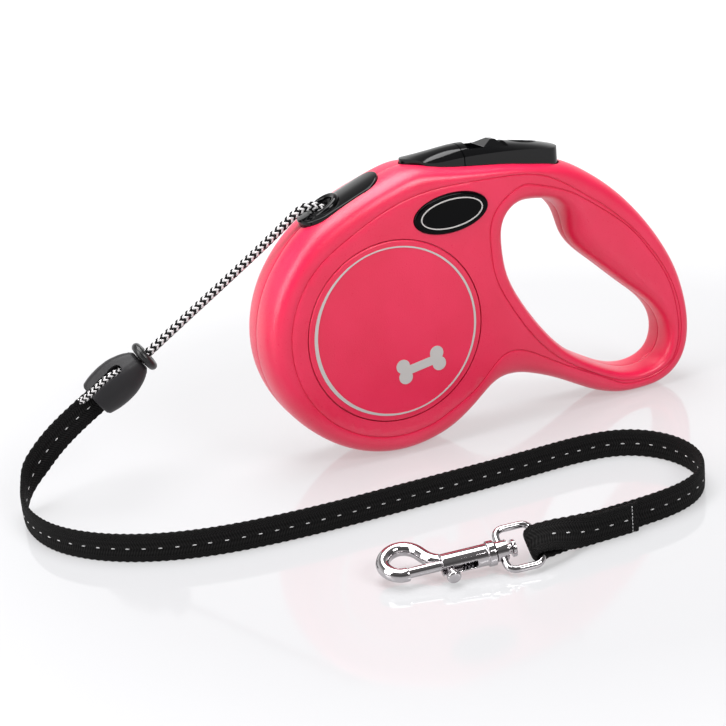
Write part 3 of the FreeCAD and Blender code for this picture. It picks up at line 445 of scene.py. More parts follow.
CREST_R = 36.3
DISC_R = 30.3
DRUM_LINE = ((-58, 43.6), (-73, 43.6), (-88, 43.5), (-103, 43.2), (-118, 42.8), (-133, 42.6),
             (-148, 42.9), (-163, 43.4), (-178, 43.7), (-193, 43.7), (-208, 43.7), (-223, 43.8))
FACE_LINE = ((-60, 12.5), (0, 12.5), (38, 12.45), (50, 11.7), (62, 10.4), (74, 9.3),
             (86, 8.55), (100, 8.15), (125, 8.0))
RIM = ((-24.5, 80.4, -19.5, 73.9), (-16.0, 85.3, -11.0, 78.8), (-6.5, 89.5, -2.2, 83.1),
       (3.0, 92.9, 6.0, 86.0), (12.5, 95.0, 14.5, 87.7), (21.5, 93.8, 23.5, 88.2),
       (32.0, 92.2, 35.0, 88.0), (45.0, 90.7, 47.0, 87.4), (57.0, 88.9, 57.5, 85.3),
       (68.0, 87.0, 66.5, 80.6), (76.0, 82.8, 74.2, 75.4), (83.4, 77.5, 80.7, 70.8),
       (90.4, 71.3, 87.0, 65.4), (97.0, 64.0, 93.0, 59.6), (102.6, 56.5, 98.5, 52.8),
       (107.4, 48.6, 103.0, 46.2), (111.0, 40.6, 106.6, 39.4), (113.3, 32.4, 109.3, 31.6),
       (114.6, 24.0, 110.5, 24.0), (114.4, 16.3, 110.2, 16.7), (112.3, 9.3, 108.2, 10.8),
       (108.0, 4.0, 104.4, 6.9), (101.8, 1.0, 98.9, 4.5), (93.5, 0.12, 92.4, 3.8),
       (84.5, 0.7, 85.3, 4.6), (76.5, 3.1, 77.8, 8.6), (68.5, 7.2, 69.6, 13.0),
       (60.0, 11.7, 61.0, 17.7), (52.0, 15.0, 52.5, 22.9), (44.5, 16.9, 45.8, 26.4),
       (37.5, 16.3, 39.5, 27.2), (32.0, 13.4, 33.6, 23.6), (27.5, 10.0, 26.8, 17.2))
HOLE = ((55.0, 76.4, 53.8, 82.2), (61.5, 75.0, 63.4, 78.9), (67.0, 69.8, 72.8, 73.8),
        (69.3, 61.4, 84.7, 65.2), (79.6, 49.2, 96.4, 53.0), (91.3, 38.6, 104.5, 40.2),
        (101.9, 28.2, 108.0, 28.4), (105.5, 18.8, 108.7, 18.2), (103.0, 11.4, 105.4, 9.4),
        (96.6, 8.1, 97.6, 5.7), (87.8, 8.6, 87.5, 6.0), (77.0, 13.5, 75.6, 11.0),
        (65.0, 21.6, 61.3, 20.0), (56.6, 30.8, 51.7, 29.3), (48.9, 42.2, 43.1, 42.0),
        (43.9, 53.0, 37.5, 53.9), (42.4, 64.0, 36.2, 65.4), (43.4, 71.2, 37.7, 74.6),
        (46.2, 74.9, 42.4, 79.7), (50.0, 76.4, 48.2, 82.6))
PROFILE_POWER = {-1: 2.7, 1: 3.6}
ROLL_STEPS = 22
WALL_FOOT = 0.34
SEAM_GROOVE = ((0.45, 0.0), (0.28, 0.10), (0.04, 0.20), (0.0, WALL_FOOT))
FACE_GROOVE = ((0.14, 0.04), (0.24, 0.30), (0.46, 0.34), (0.60, 0.10), (0.78, 0.0))
RIM_POINTS = 520
HOLE_POINTS = 320
FACE_SPACING = 2.2
DISC_AT = (0.0, DRUM_Z)
DISC_GAP = 0.3
DISC_SINK = (1.0, 0.1)
BADGE_AT = (22.5, 79.0)
BADGE_AXES = (13.35, 6.55)
BADGE_TILT = math.radians(4.0)
BADGE_SINK = (0.9, 0.2)
SCREWS = ((42.5, 25.0), (74.6, 76.6), (97.0, 46.0))
SCREW_HOLE_R = 2.8
SCREW_HOLE = (5.6, 20.0)
BRAKE_U0 = 11.4
BRAKE_U1 = 66.68
BRAKE_NOSE_L = 12.0
BRAKE_REAR_R = 4.0
BRAKE_HALF_W = 7.2
BRAKE_GAP = 0.28
BRAKE_POCKET = (84.0, 120.0)
GUIDE_AT = (-10.9, 87.2)
GUIDE_TILT = math.radians(22.5)
GUIDE_HALF_L = 14.9
GUIDE_HALF_W = 7.4
GUIDE_GAP = 0.12
GUIDE_POCKET = (-5.0, 12.0)


def half_thickness(u):
    """Half thickness of the body at u, eased over the corners of the face line."""
    us = [p[0] for p in FACE_LINE]
    ts = [p[1] for p in FACE_LINE]
    spread = np.linspace(-8.0, 8.0, 9)
    return np.mean([np.interp(np.asarray(u) + d, us, ts) for d in spread], axis=0)


def closed_spline(rows, count):
    """Smooth closed curve through rows of values, at even steps of the first two columns."""
    rows = np.asarray(rows, float)
    n = len(rows)
    gaps = np.linalg.norm(np.roll(rows, -1, axis=0)[:, :2] - rows[:, :2], axis=1)
    system = np.zeros((n, n))
    right = np.zeros_like(rows)
    for i in range(n):
        before = gaps[i - 1]
        after = gaps[i]
        nxt = (i + 1) % n
        system[i, i - 1] = after
        system[i, i] = 2 * (before + after)
        system[i, nxt] = before
        rise = after * (rows[i] - rows[i - 1]) / before
        right[i] = 3 * (rise + before * (rows[nxt] - rows[i]) / after)
    slopes = np.linalg.solve(system, right)
    fine = []
    for i in range(n):
        nxt = (i + 1) % n
        t = np.linspace(0, 1, 40, endpoint=False)[:, None]
        h = gaps[i]
        start = (2 * t ** 3 - 3 * t ** 2 + 1) * rows[i] + (t ** 3 - 2 * t ** 2 + t) * h * slopes[i]
        end = (3 * t ** 2 - 2 * t ** 3) * rows[nxt] + (t ** 3 - t ** 2) * h * slopes[nxt]
        fine.append(start + end)
    fine = np.concatenate(fine)
    fine = np.vstack([fine, fine[:1]])
    along = distances(fine[:, :2])
    return resampled(fine, along, np.linspace(0, along[-1], count, endpoint=False))


def rim_rows():
    """Drum outline and its crest, then the rest of the rim, as (u, v, crease u, crease v)."""
    rows = []
    for degrees, radius in DRUM_LINE:
        c = math.cos(math.radians(degrees))
        s = math.sin(math.radians(degrees))
        rows.append((radius * c, DRUM_Z + radius * s, CREST_R * c, DRUM_Z + CREST_R * s))
    return rows + list(RIM)


def rolled_wall(curve, side):
    """Rings from the seam groove over the rounded wall to the groove on the face."""
    seam = curve[:, :2]
    crease = curve[:, 2:]
    inward = crease - seam
    width = np.linalg.norm(inward, axis=1, keepdims=True)
    inward = inward / width
    half = half_thickness(crease[:, 0])[:, None]
    power = 2 / PROFILE_POWER[side]
    rings = []
    for inset, depth in SEAM_GROOVE:
        rings.append((seam + inward * inset, np.full_like(half, depth)))
    for angle in np.linspace(0.09, math.pi / 2, ROLL_STEPS):
        share = 1 - math.cos(angle) ** power
        depth = WALL_FOOT + (half - WALL_FOOT) * math.sin(angle) ** power
        rings.append((seam + inward * width * share, depth))
    for inset, sink in FACE_GROOVE:
        rings.append((crease + inward * inset, half - sink))
    rows = [np.hstack([plan[:, :1], side * depth, plan[:, 1:]]) for plan, depth in rings]
    return np.stack(rows)


def circle_loop(centre, radius_u, radius_v, tilt, count):
    """Closed circle or tilted oval in plan."""
    angle = np.linspace(0, 2 * math.pi, count, endpoint=False)
    a = radius_u * np.cos(angle)
    b = radius_v * np.sin(angle)
    c, s = math.cos(tilt), math.sin(tilt)
    return np.stack([centre[0] + a * c - b * s, centre[1] + a * s + b * c], axis=1)


def inside(points, loop):
    """Which plan points lie inside a closed loop."""
    x, z = points[:, 0][:, None], points[:, 1][:, None]
    x0, z0 = loop[:, 0][None, :], loop[:, 1][None, :]
    x1, z1 = np.roll(loop[:, 0], -1)[None, :], np.roll(loop[:, 1], -1)[None, :]
    cross = (z0 > z) != (z1 > z)
    rise = np.where(z1 == z0, 1e-9, z1 - z0)
    return (np.sum(cross & (x < x0 + (z - z0) * (x1 - x0) / rise), axis=1) % 2) == 1


def in_region(points, outer, holes):
    """Which plan points lie inside the outer loop and outside every hole."""
    keep = inside(points, outer)
    for loop in holes:
        keep &= ~inside(points, loop)
    return keep


def fill_between(outer, holes, spacing):
    """Triangles between closed loops, with even points spread inside when spacing is given."""
    loops = [outer] + holes
    points = np.concatenate(loops)
    edges = []
    base = 0
    for loop in loops:
        edges.extend((base + i, base + (i + 1) % len(loop)) for i in range(len(loop)))
        base += len(loop)
    if spacing:
        low = outer.min(axis=0)
        high = outer.max(axis=0)
        rows = []
        for k, z in enumerate(np.arange(low[1], high[1], spacing * 0.87)):
            xs = np.arange(low[0] + spacing * 0.5 * (k % 2), high[0], spacing)
            rows.append(np.stack([xs, np.full_like(xs, z)], axis=1))
        extra = np.concatenate(rows)
        extra = extra[in_region(extra, outer, holes)]
        near = np.min(np.linalg.norm(extra[:, None, :] - points[None, ::2, :], axis=2), axis=1)
        points = np.concatenate([points, extra[near > spacing * 0.45]])
    verts, _, faces, *_ = delaunay_2d_cdt([Vector(p) for p in points], edges, [], 0, 1e-6)
    verts = np.array([tuple(v) for v in verts])
    tris = np.array(faces)
    return verts, tris[in_region(verts[tris].mean(axis=1), outer, holes)].tolist()


def on_face(plan, side, sink):
    """Plan points on the face of one half, sunk into it by a depth."""
    return np.stack([plan[:, 0], side * (half_thickness(plan[:, 0]) - sink), plan[:, 1]], axis=1)


def shrunk(loop, centre, share):
    """A plan loop drawn in towards a centre."""
    return loop + (np.array(centre) - loop) * share


def sunk_rim(loop, side, centre, depth, ledge):
    """Wall and ledge of a recess in the face, inside a closed loop."""
    steps = ((0.0, 0.0), (0.0, depth), (ledge, depth))
    rows = [on_face(shrunk(loop, centre, share), side, sink) for share, sink in steps]
    return np.concatenate(rows), grid_faces(3, len(loop), True)


def cutter(name, loop, z0, z1, turn=None):
    """Closed upright prism used to cut a pocket; loop is (x, y) in millimetres."""
    verts = [Vector((x, y, z)) for z in (z0, z1) for x, y in loop]
    if turn is not None:
        verts = [turn @ v for v in verts]
    return new_object(name, verts, capped_grid(2, len(loop)), False)


def brake_outline(grow, count=40):
    """Brake unit seen from above, from the nose round to the nose, in millimetres."""
    turn = np.linspace(0, math.pi / 2, count)
    nose = BRAKE_U0 - grow + (BRAKE_NOSE_L + grow) * (1 - np.cos(turn))
    sides = np.linspace(BRAKE_U0 + BRAKE_NOSE_L + 1, BRAKE_U1 - BRAKE_REAR_R, 8)
    us = np.concatenate([nose, sides])
    half = np.array([brake_half_width(u, grow) for u in us])
    corner = np.linspace(0, math.pi / 2, 9)[1:]
    radius = BRAKE_REAR_R + grow
    rear_u = BRAKE_U1 - BRAKE_REAR_R + radius * np.sin(corner)
    rear_y = BRAKE_HALF_W + grow - radius * (1 - np.cos(corner))
    us = np.concatenate([us, rear_u])
    half = np.concatenate([half, rear_y])
    front = list(zip(us, -half))
    back = list(zip(us, half))[::-1]
    return [(u + DRUM_X, y) for u, y in front + back[:-1]]


def brake_half_width(u, grow=0.0):
    """Half width of the brake unit at u, following the nose."""
    full = BRAKE_HALF_W + grow
    share = (u - BRAKE_U0 + grow) / (BRAKE_NOSE_L + grow)
    if share >= 1:
        return full
    return full * math.sqrt(max(0.0, 1 - (1 - share) ** 1.75))


def guide_turn():
    """Frame of the cord guide, in millimetres: x along the rim, z out of it."""
    c, s = math.cos(GUIDE_TILT), math.sin(GUIDE_TILT)
    turn = Matrix(((c, 0, -s), (0, 1, 0), (s, 0, c)))
    return Matrix.Translation((GUIDE_AT[0] + DRUM_X, 0, GUIDE_AT[1])) @ turn.to_4x4()


def guide_outline(grow, count=12):
    """Long rounded plan of the guide pad in its own frame."""
    a = GUIDE_HALF_L + grow
    b = GUIDE_HALF_W + grow
    angle = np.linspace(-math.pi / 2, math.pi / 2, count)
    right = [(a - b + b * math.cos(t), b * math.sin(t)) for t in angle]
    return right + [(-x, -y) for x, y in right]


def shell_parts(side):
    """Rolled walls, face, recess walls, recess floors and the cap over the seam of one half."""
    walls = [rolled_wall(closed_spline(rim_rows(), RIM_POINTS), side),
             rolled_wall(closed_spline(HOLE, HOLE_POINTS), side)]
    disc = circle_loop(DISC_AT, DISC_R + DISC_GAP, DISC_R + DISC_GAP, 0.0, 180)
    oval = circle_loop(BADGE_AT, *BADGE_AXES, BADGE_TILT, 90)
    recesses = ((disc, DISC_AT, *DISC_SINK), (oval, BADGE_AT, *BADGE_SINK))
    parts = [(wall.reshape(-1, 3), grid_faces(*wall.shape[:2], True)) for wall in walls]
    edge, hole_edge = (wall[-1][:, [0, 2]] for wall in walls)
    plan, tris = fill_between(edge, [hole_edge, disc, oval], FACE_SPACING)
    parts.append((on_face(plan, side, 0.0), tris))
    for loop, centre, sink, ledge in recesses:
        parts.append(sunk_rim(loop, side, centre, sink, ledge))
    for loop, centre, sink, ledge in recesses:
        plan, tris = fill_between(shrunk(loop, centre, ledge), [], None)
        parts.append((on_face(plan, side, sink), tris))
    seam, hole_seam = (wall[0][:, [0, 2]] for wall in walls)
    plan, tris = fill_between(seam, [hole_seam], None)
    parts.append((np.stack([plan[:, 0], np.zeros(len(plan)), plan[:, 1]], axis=1), tris))
    return parts


def shell_tools(side):
    """Cutters for the brake and guide pockets, and for the screw recesses of the rear half."""
    tools = [cutter("cut_brake", brake_outline(BRAKE_GAP), *BRAKE_POCKET),
             cutter("cut_guide", guide_outline(GUIDE_GAP), *GUIDE_POCKET, guide_turn())]
    if side > 0:
        tip_to_y = Matrix.Rotation(-math.pi / 2, 4, "X")
        for u, v in SCREWS:
            ring = circle_loop((u + DRUM_X, -v), SCREW_HOLE_R, SCREW_HOLE_R, 0.0, 32)
            tools.append(cutter("cut_screw", ring, *SCREW_HOLE, tip_to_y))
    return tools


def shell_mesh(name, side):
    """Outer skin of one half, with its recesses and pockets; open to the inside."""
    shell = join_parts(name, shell_parts(side))
    for v in shell.data.vertices:
        v.co.x += DRUM_X
    bm = bmesh.new()
    bm.from_mesh(shell.data)
    bmesh.ops.remove_doubles(bm, verts=bm.verts, dist=0.002)
    bmesh.ops.recalc_face_normals(bm, faces=bm.faces)
    bm.to_mesh(shell.data)
    bm.free()
    cut_all(shell, shell_tools(side))
    open_inside(shell)
    return shell


def cut_all(target, tools):
    """Subtract closed tools from a closed mesh and keep the result."""
    for tool in tools:
        mod = target.modifiers.new("cut", "BOOLEAN")
        mod.operation = "DIFFERENCE"
        mod.solver = "EXACT"
        mod.object = tool
    depsgraph = bpy.context.evaluated_depsgraph_get()
    mesh = bpy.data.meshes.new_from_object(target.evaluated_get(depsgraph))
    target.modifiers.clear()
    old = target.data
    target.data = mesh
    bpy.data.meshes.remove(old)
    for tool in tools:
        bpy.data.objects.remove(tool)


def open_inside(shell):
    """Remove the closing cap and the pocket floors, then scale to metres."""
    bm = bmesh.new()
    bm.from_mesh(shell.data)
    turn = guide_turn().inverted()
    gone = []
    for face in bm.faces:
        middle = face.calc_center_median()
        on_seam = all(abs(v.co.y) < 1e-4 for v in face.verts)
        floor = abs(middle.z - BRAKE_POCKET[0]) < 0.01 and abs(face.normal.z) > 0.9
        guide_depth = (turn @ middle).z - GUIDE_POCKET[0]
        guide_floor = abs(guide_depth) < 0.01 and abs(face.normal.y) < 0.3
        if on_seam or floor or guide_floor:
            gone.append(face)
    bmesh.ops.delete(bm, geom=gone, context="FACES")
    bmesh.ops.scale(bm, vec=(MM, MM, MM), verts=bm.verts)
    bm.to_mesh(shell.data)
    bm.free()
    smooth_below(shell, 38)


for side, skin_name, shell_node in ((-1, "housing_front_skin", "front_shell"),
                                    (1, "housing_rear_skin", "rear_shell")):
    skin = shell_mesh(skin_name, side)
    dress(skin, RED)
    stand_in(skin, shell_node)

# ---- cord, strap and stitches

CORD_R = 1.5 * MM
LOOP_R = 1.15 * MM
STRAP_HALF_W = 4.5 * MM
STRAP_HALF_T = 0.8 * MM
STRAP_STEP = 0.5 * MM
STITCH_PITCH = 4.9 * MM
STITCH = (0.66 * MM, 0.19 * MM, 0.13 * MM)
SEAM_STITCH = (0.42 * MM, 0.13 * MM, 0.10 * MM)
SEAM_HALF_W = 3.7 * MM
EDGE_PITCH = 2.4 * MM
EDGE_RIPPLE = 0.13 * MM
BAND_SIDES = 28
UPRIGHT = np.array((0.0, 0.0, 1.0))
TWIST_LENGTH = 45 * MM
END_OVERLAP = 14.0 * MM
END_STEP = 0.35 * MM
PLY_LIFT = 1.7 * MM
PLY_POINTS = 44
BEND_POINTS = 22
BAR_GAP = 0.25 * MM
BAR_CLEAR = 4.5 * MM


def capsule(centre, along, side, up, half_sizes):
    """Small rounded stitch."""
    half_l, half_w, half_h = half_sizes
    verts = []
    for turn in np.linspace(-math.pi / 2, math.pi / 2, 6):
        ring = math.cos(turn) ** 0.6
        spot = centre + along * half_l * math.sin(turn)
        for angle in np.linspace(0, 2 * math.pi, 8, endpoint=False):
            across = side * half_w * ring * math.cos(angle)
            verts.append(spot + across + up * half_h * ring * math.sin(angle))
    return verts, grid_faces(6, 8, True)


def both_faces(centre, along, side, normal, half_sizes):
    """The same stitch on both faces of the webbing."""
    return [capsule(centre + normal * face * STRAP_HALF_T, along, side, normal, half_sizes)
            for face in (1, -1)]


def paint(obj, materials, indices):
    """Give the object several materials and each face its own index."""
    obj.data.materials.clear()
    for material in materials:
        obj.data.materials.append(material)
    obj.data.polygons.foreach_set("material_index", np.asarray(indices, dtype=np.int32))


def braided(name, line, first_side, radius, lead, carriers=16):
    """Cord plaited from flat strands, half of them black and half white, round a dark core."""
    pts, marks = even_line(line, 0.2 * MM)
    side, up = carried_frame(pts, first_side)
    half = carriers // 2
    middle = radius * 0.74
    wave = radius * 0.10
    strand_w = 2 * math.pi * middle / carriers * 0.86
    strand_t = radius * 0.15
    parts = [tube_part(pts, side, up, radius * 0.70, 12)]
    indices = [0] * len(parts[0][1])
    for strand in range(carriers):
        turn = 1 if strand < half else -1
        k = strand % half
        angle = turn * 2 * math.pi * marks / lead + 2 * math.pi * k / half
        crossing = 2 * k + turn * carriers * marks / lead - 0.5
        lift = turn * np.clip(1.5 * np.cos(math.pi * crossing / 2), -1, 1)
        out = side * np.cos(angle)[:, None] + up * np.sin(angle)[:, None]
        run = pts + out * (middle + wave * lift)[:, None]
        direction = tangents(run)
        across = unit(np.cross(direction, out))
        ring = np.linspace(0, 2 * math.pi, 6, endpoint=False)
        flat = across[:, None, :] * (strand_w * np.cos(ring))[None, :, None]
        thick = out[:, None, :] * (strand_t * np.sin(ring))[None, :, None]
        verts = run[:, None, :] + flat + thick
        faces = grid_faces(len(run), 6, True)
        parts.append((verts.reshape(-1, 3), faces))
        indices.extend([1 if k % 2 else 2] * len(faces))
    obj = join_parts(name, parts)
    paint(obj, [CORD_DARK, CORD_DARK, CORD_WHITE], indices)
    return obj


def band(pts, marks, wide, half_w):
    """Flat webbing along a line with uneven woven edges: its mesh, its UV map in millimetres
    along and across, and its width and thickness directions."""
    tan = tangents(pts)
    wide = unit(wide - tan * np.sum(wide * tan, axis=1, keepdims=True))
    normal = np.cross(tan, wide)
    angle = np.linspace(0, 2 * math.pi, BAND_SIDES, endpoint=False)
    a = np.sign(np.cos(angle)) * np.abs(np.cos(angle)) ** 0.42
    b = np.sign(np.sin(angle)) * np.abs(np.sin(angle)) ** 0.42
    edge = np.abs(a) ** 8
    ripple = EDGE_RIPPLE * np.cos(2 * math.pi * marks / EDGE_PITCH)
    reach = a[None, :] * half_w + np.sign(a) * edge * ripple[:, None]
    lift = (b * STRAP_HALF_T * (1 - 0.25 * edge))[None, :, None]
    verts = pts[:, None, :] + wide[:, None, :] * reach[:, :, None] + normal[:, None, :] * lift
    across = np.cos(angle) * half_w / MM
    uv = np.stack([np.repeat(marks / MM, BAND_SIDES), np.tile(across, len(pts))], axis=1)
    return (verts.reshape(-1, 3), capped_grid(len(pts), BAND_SIDES), uv), wide, normal


def webbing_object(name, mesh, stitches):
    """Webbing with its UV map and with its stitches as a second material."""
    verts, faces, uv = mesh
    obj = join_parts(name, [(verts, faces)] + stitches)
    layer = obj.data.uv_layers.new(name="weave")
    loops = np.zeros(len(obj.data.loops), dtype=np.int32)
    obj.data.loops.foreach_get("vertex_index", loops)
    full = np.zeros((len(obj.data.vertices), 2))
    full[:len(uv)] = uv
    layer.data.foreach_set("uv", full[loops].ravel())
    count = sum(len(f) for _, f in stitches)
    paint(obj, [WEBBING, THREAD], [0] * len(faces) + [1] * count)
    return obj


def connector_axes():
    """Top point, direction to the strap, width and thickness directions of the connector."""
    along = Vector(CONN_DIR).normalized()
    thick = (Vector((0, 1, 0)) - along * along.y).normalized()
    return at(*CONN_TOP), along, along.cross(thick), thick


def smooth_step(x):
    """Ease from 0 to 1."""
    x = np.clip(x, 0.0, 1.0)
    return x * x * (3 - 2 * x)


conn_top, conn_along, conn_wide, conn_thick = connector_axes()
cord_obj = braided("leash_cord_braid", cord_line, (0.0, 1.0, 0.0), CORD_R, 8.8 * MM)
loop_points = [conn_top + (conn_along * s + conn_wide * w + conn_thick * t) * MM
               for s, w, t in LOOP_ROUTE]
loop_line = spline_points(loop_points, "loop_line")
loop_obj = braided("cord_loop_braid", loop_line, tuple(conn_thick), LOOP_R, 6.8 * MM)

strap_pts, strap_marks = even_line(strap_line, STRAP_STEP)
turned = smooth_step(strap_marks / TWIST_LENGTH)[:, None]
strap_wide = -np.array(conn_wide)[None, :] * (1 - turned) + UPRIGHT[None, :] * turned
strap_mesh, strap_wide, strap_normal = band(strap_pts, strap_marks, strap_wide, STRAP_HALF_W)
strap_tan = tangents(strap_pts)
strap_stitches = []
for mark in np.arange(6 * MM, strap_marks[-1] - END_OVERLAP - 2 * MM, STITCH_PITCH):
    i = int(np.searchsorted(strap_marks, mark))
    strap_stitches += both_faces(strap_pts[i], strap_tan[i], strap_wide[i], strap_normal[i], STITCH)
strap_obj = webbing_object("webbing_strap_woven", strap_mesh, strap_stitches)

# ---- folded end of the strap

HOOK_AT = (-12.3, -100.8, 5.2)
HOOK_DIR = (-1.0, 0.16, -0.05)
LOOP_TILT = math.radians(30)
DLOOP_END_A = -12.4
DLOOP_ROD_R = 1.05
DLOOP_HALF = 6.9
DLOOP_BAR_A = -1.95
DLOOP_CORNER_R = 2.6
SLEEVE_A = -3.6
SLEEVE_L = 3.3 * MM
SLEEVE_OUT_R = 2.9 * MM
SLEEVE_IN_R = 1.62 * MM


def hook_axes(tilt):
    """Hook origin, direction to the eye and the sideways direction at a tilt."""
    along = Vector(HOOK_DIR).normalized()
    back = (Vector((0, 1, 0)) - along * along.y).normalized()
    up = back.cross(along).normalized()
    if up.z < 0:
        up = -up
    side = back * math.cos(tilt) + up * math.sin(tilt)
    return at(*HOOK_AT), along, side.normalized()


def fold_line():
    """Line and width directions of the end: behind the bar, round it, and back along the strap."""
    origin, along, side = hook_axes(LOOP_TILT)
    bar = np.array(origin + along * DLOOP_END_A * MM)
    tail = strap_pts[-1]
    side = np.array(side)
    heading = unit(tail - bar)
    normal = unit(np.cross(heading, side))
    if normal[1] > 0:
        normal = -normal
    end_normal = np.array(strap_normal[-1])
    if np.dot(end_normal, normal) < 0:
        end_normal = -end_normal
    radius = DLOOP_ROD_R * MM + BAR_GAP + STRAP_HALF_T
    pts = []
    wides = []

    def add_ply(shares, sign):
        """One ply between the tail, at share 0, and the bar, at share 1."""
        start = 0.0 if sign < 0 else PLY_LIFT
        for share in shares:
            ease = float(smooth_step(share))
            face = unit(end_normal * (1 - ease) + normal * ease)
            lift = start + (radius - start) * float(smooth_step((share - 0.25) / 0.75))
            pts.append(tail + (bar - tail) * share + face * sign * lift)
            wides.append(unit(UPRIGHT * (1 - ease) + side * ease))

    add_ply(np.linspace(0.0, 1.0, PLY_POINTS), -1)
    for angle in np.linspace(math.pi, 0, BEND_POINTS)[1:-1]:
        pts.append(bar + normal * radius * math.cos(angle) - heading * radius * math.sin(angle))
        wides.append(side)
    add_ply(np.linspace(1.0, 0.0, PLY_POINTS), 1)
    sign = 1 if np.dot(strap_normal[-1], end_normal) > 0 else -1
    for i in range(len(strap_pts) - 2, len(strap_pts) - int(END_OVERLAP / STRAP_STEP), -1):
        pts.append(strap_pts[i] + strap_normal[i] * sign * PLY_LIFT)
        wides.append(UPRIGHT)
    return np.array(pts), np.array(wides), bar


def folded_end():
    """Doubled end of the strap with its stitched line and its cross seam."""
    pts, wides, bar = fold_line()
    along = distances(pts)
    marks = np.linspace(0, along[-1], int(along[-1] / END_STEP))
    pts = resampled(pts, along, marks)
    wides = unit(resampled(wides, along, marks))
    mesh, wides, normals = band(pts, marks, wides, STRAP_HALF_W * 1.02)
    tan = tangents(pts)
    stitches = []
    for mark in np.arange(2 * MM, marks[-1] - 3 * MM, STITCH_PITCH):
        i = int(np.searchsorted(marks, mark))
        if np.linalg.norm(pts[i] - bar) >= BAR_CLEAR:
            stitches += both_faces(pts[i], tan[i], wides[i], normals[i], STITCH)
    i = len(pts) - 7
    for w in np.linspace(-SEAM_HALF_W, SEAM_HALF_W, 8):
        stitches += both_faces(pts[i] + wides[i] * w, wides[i], tan[i], normals[i], SEAM_STITCH)
    return webbing_object("strap_end_folded", mesh, stitches)


end_obj = folded_end()
for piece, node in ((cord_obj, "leash_cord"), (loop_obj, "cord_loop"), (strap_obj, "webbing_strap"),
                    (end_obj, "strap_end")):
    stand_in(piece, node)

# ---- connector

FLAT_W = -math.cos(math.radians(40))
FLAT_T = -math.sin(math.radians(40))
CONN_SECTIONS = ((0.0, 3.3, 3.1), (1.0, 4.4, 3.9), (3.5, 5.9, 4.9), (7.5, 7.2, 5.7),
                 (11.5, 7.5, 5.9), (15.5, 7.2, 5.6), (19.0, 6.3, 5.0))
CONN_LENGTH = CONN_SECTIONS[-1][0]
CONN_LIP_AT = 18.2
CONN_SIDES = 96
FLAT_SHARE = 0.86


def connector_row(s):
    """Outline of the connector at s along it, cut back where the flat lies."""
    s_ref, w_ref, t_ref = (np.array(c) for c in zip(*CONN_SECTIONS))
    shrink = 1.0 - 0.10 * max(0.0, (s - CONN_LIP_AT) / (CONN_LENGTH - CONN_LIP_AT)) ** 2
    inner = np.full(7, s)
    if 1.3 < s < 17.7:
        inner = np.clip(s + np.linspace(-1.2, 1.2, 7), 0.0, CONN_LENGTH)
    angle = np.linspace(0, 2 * math.pi, CONN_SIDES, endpoint=False)
    half_w = np.mean(np.interp(inner, s_ref, w_ref)) * shrink
    half_t = np.mean(np.interp(inner, s_ref, t_ref)) * shrink
    w = half_w * np.sign(np.cos(angle)) * np.abs(np.cos(angle)) ** 0.92
    t = half_t * np.sign(np.sin(angle)) * np.abs(np.sin(angle)) ** 0.92
    reach = w * FLAT_W + t * FLAT_T
    over = np.maximum(reach - FLAT_SHARE * reach.max(), 0.0)
    over = over - 0.35 * np.minimum(over, 0.5)
    start = conn_top / MM + conn_along * s
    return [start + conn_wide * a + conn_thick * b
            for a, b in zip(w - FLAT_W * over, t - FLAT_T * over)]


def connector_mesh():
    """Egg-shaped cap with a flat, a slot in the flat for the loop and a mouth for the strap."""
    stations = np.concatenate([np.linspace(0.0, 1.0, 6), np.linspace(1.6, CONN_LIP_AT, 40),
                               (18.6, 18.85, CONN_LENGTH)])
    verts = [v for s in stations for v in connector_row(s)]
    body = new_object("connector_shell", verts, capped_grid(len(stations), CONN_SIDES))
    out = (conn_wide * FLAT_W + conn_thick * FLAT_T).normalized()

    def facing(x, y, z):
        return Matrix.Translation(conn_top / MM) @ Matrix((x, y, z)).transposed().to_4x4()

    turn = facing(conn_wide, conn_thick, conn_along)
    slot_turn = facing(out, conn_along.cross(out), conn_along)
    hole_turn = facing(conn_along, out.cross(conn_along), out)
    tools = [cutter("cut_bore", circle_loop((0, 0), 1.9, 1.9, 0, 32), -4.0, 8.0, turn),
             cutter("cut_mouth", rounded_box(-4.85, 4.85, -1.3, 1.3, 0.6), 12.0, 24.0, turn),
             cutter("cut_groove", rounded_box(3.6, 12.0, -1.3, 1.3, 0.6), 8.4, 24.0, slot_turn),
             cutter("cut_hole", rounded_box(5.6, 10.6, -1.75, 1.75, 1.7), 0.0, 12.0, hole_turn)]
    cut_all(body, tools)
    body.data.transform(Matrix.Scale(MM, 4))
    smooth_below(body, 32)
    return body


def rounded_box(x0, x1, y0, y1, r):
    """Closed plan of a rectangle with rounded corners."""
    out = []
    for cx, cy, start in ((x1 - r, y1 - r, 0), (x0 + r, y1 - r, 90), (x0 + r, y0 + r, 180),
                          (x1 - r, y0 + r, 270)):
        for step in range(6):
            angle = math.radians(start + step * 18)
            out.append((cx + r * math.cos(angle), cy + r * math.sin(angle)))
    return out


connector_obj = connector_mesh()
dress(connector_obj, MATTE)
stand_in(connector_obj, "connector")

# ---- bolt snap


def closed_tube(points, radius, sides=16):
    """Tube round a closed line of points."""
    pts = np.array([tuple(p) for p in points])
    tan = unit(np.roll(pts, -1, axis=0) - np.roll(pts, 1, axis=0))
    plane = unit(np.cross(pts[1] - pts[0], pts[len(pts) // 3] - pts[0]))
    out = np.cross(tan, plane)
    angle = np.linspace(0, 2 * math.pi, sides, endpoint=False)
    across = out[:, None, :] * np.cos(angle)[None, :, None]
    ring = across + plane[None, None, :] * np.sin(angle)[None, :, None]
    base = (len(pts) - 1) * sides
    closing = [[base + c, base + (c + 1) % sides, (c + 1) % sides, c] for c in range(sides)]
    verts = (pts[:, None, :] + radius * ring).reshape(-1, 3)
    return verts, grid_faces(len(pts), sides, True) + closing


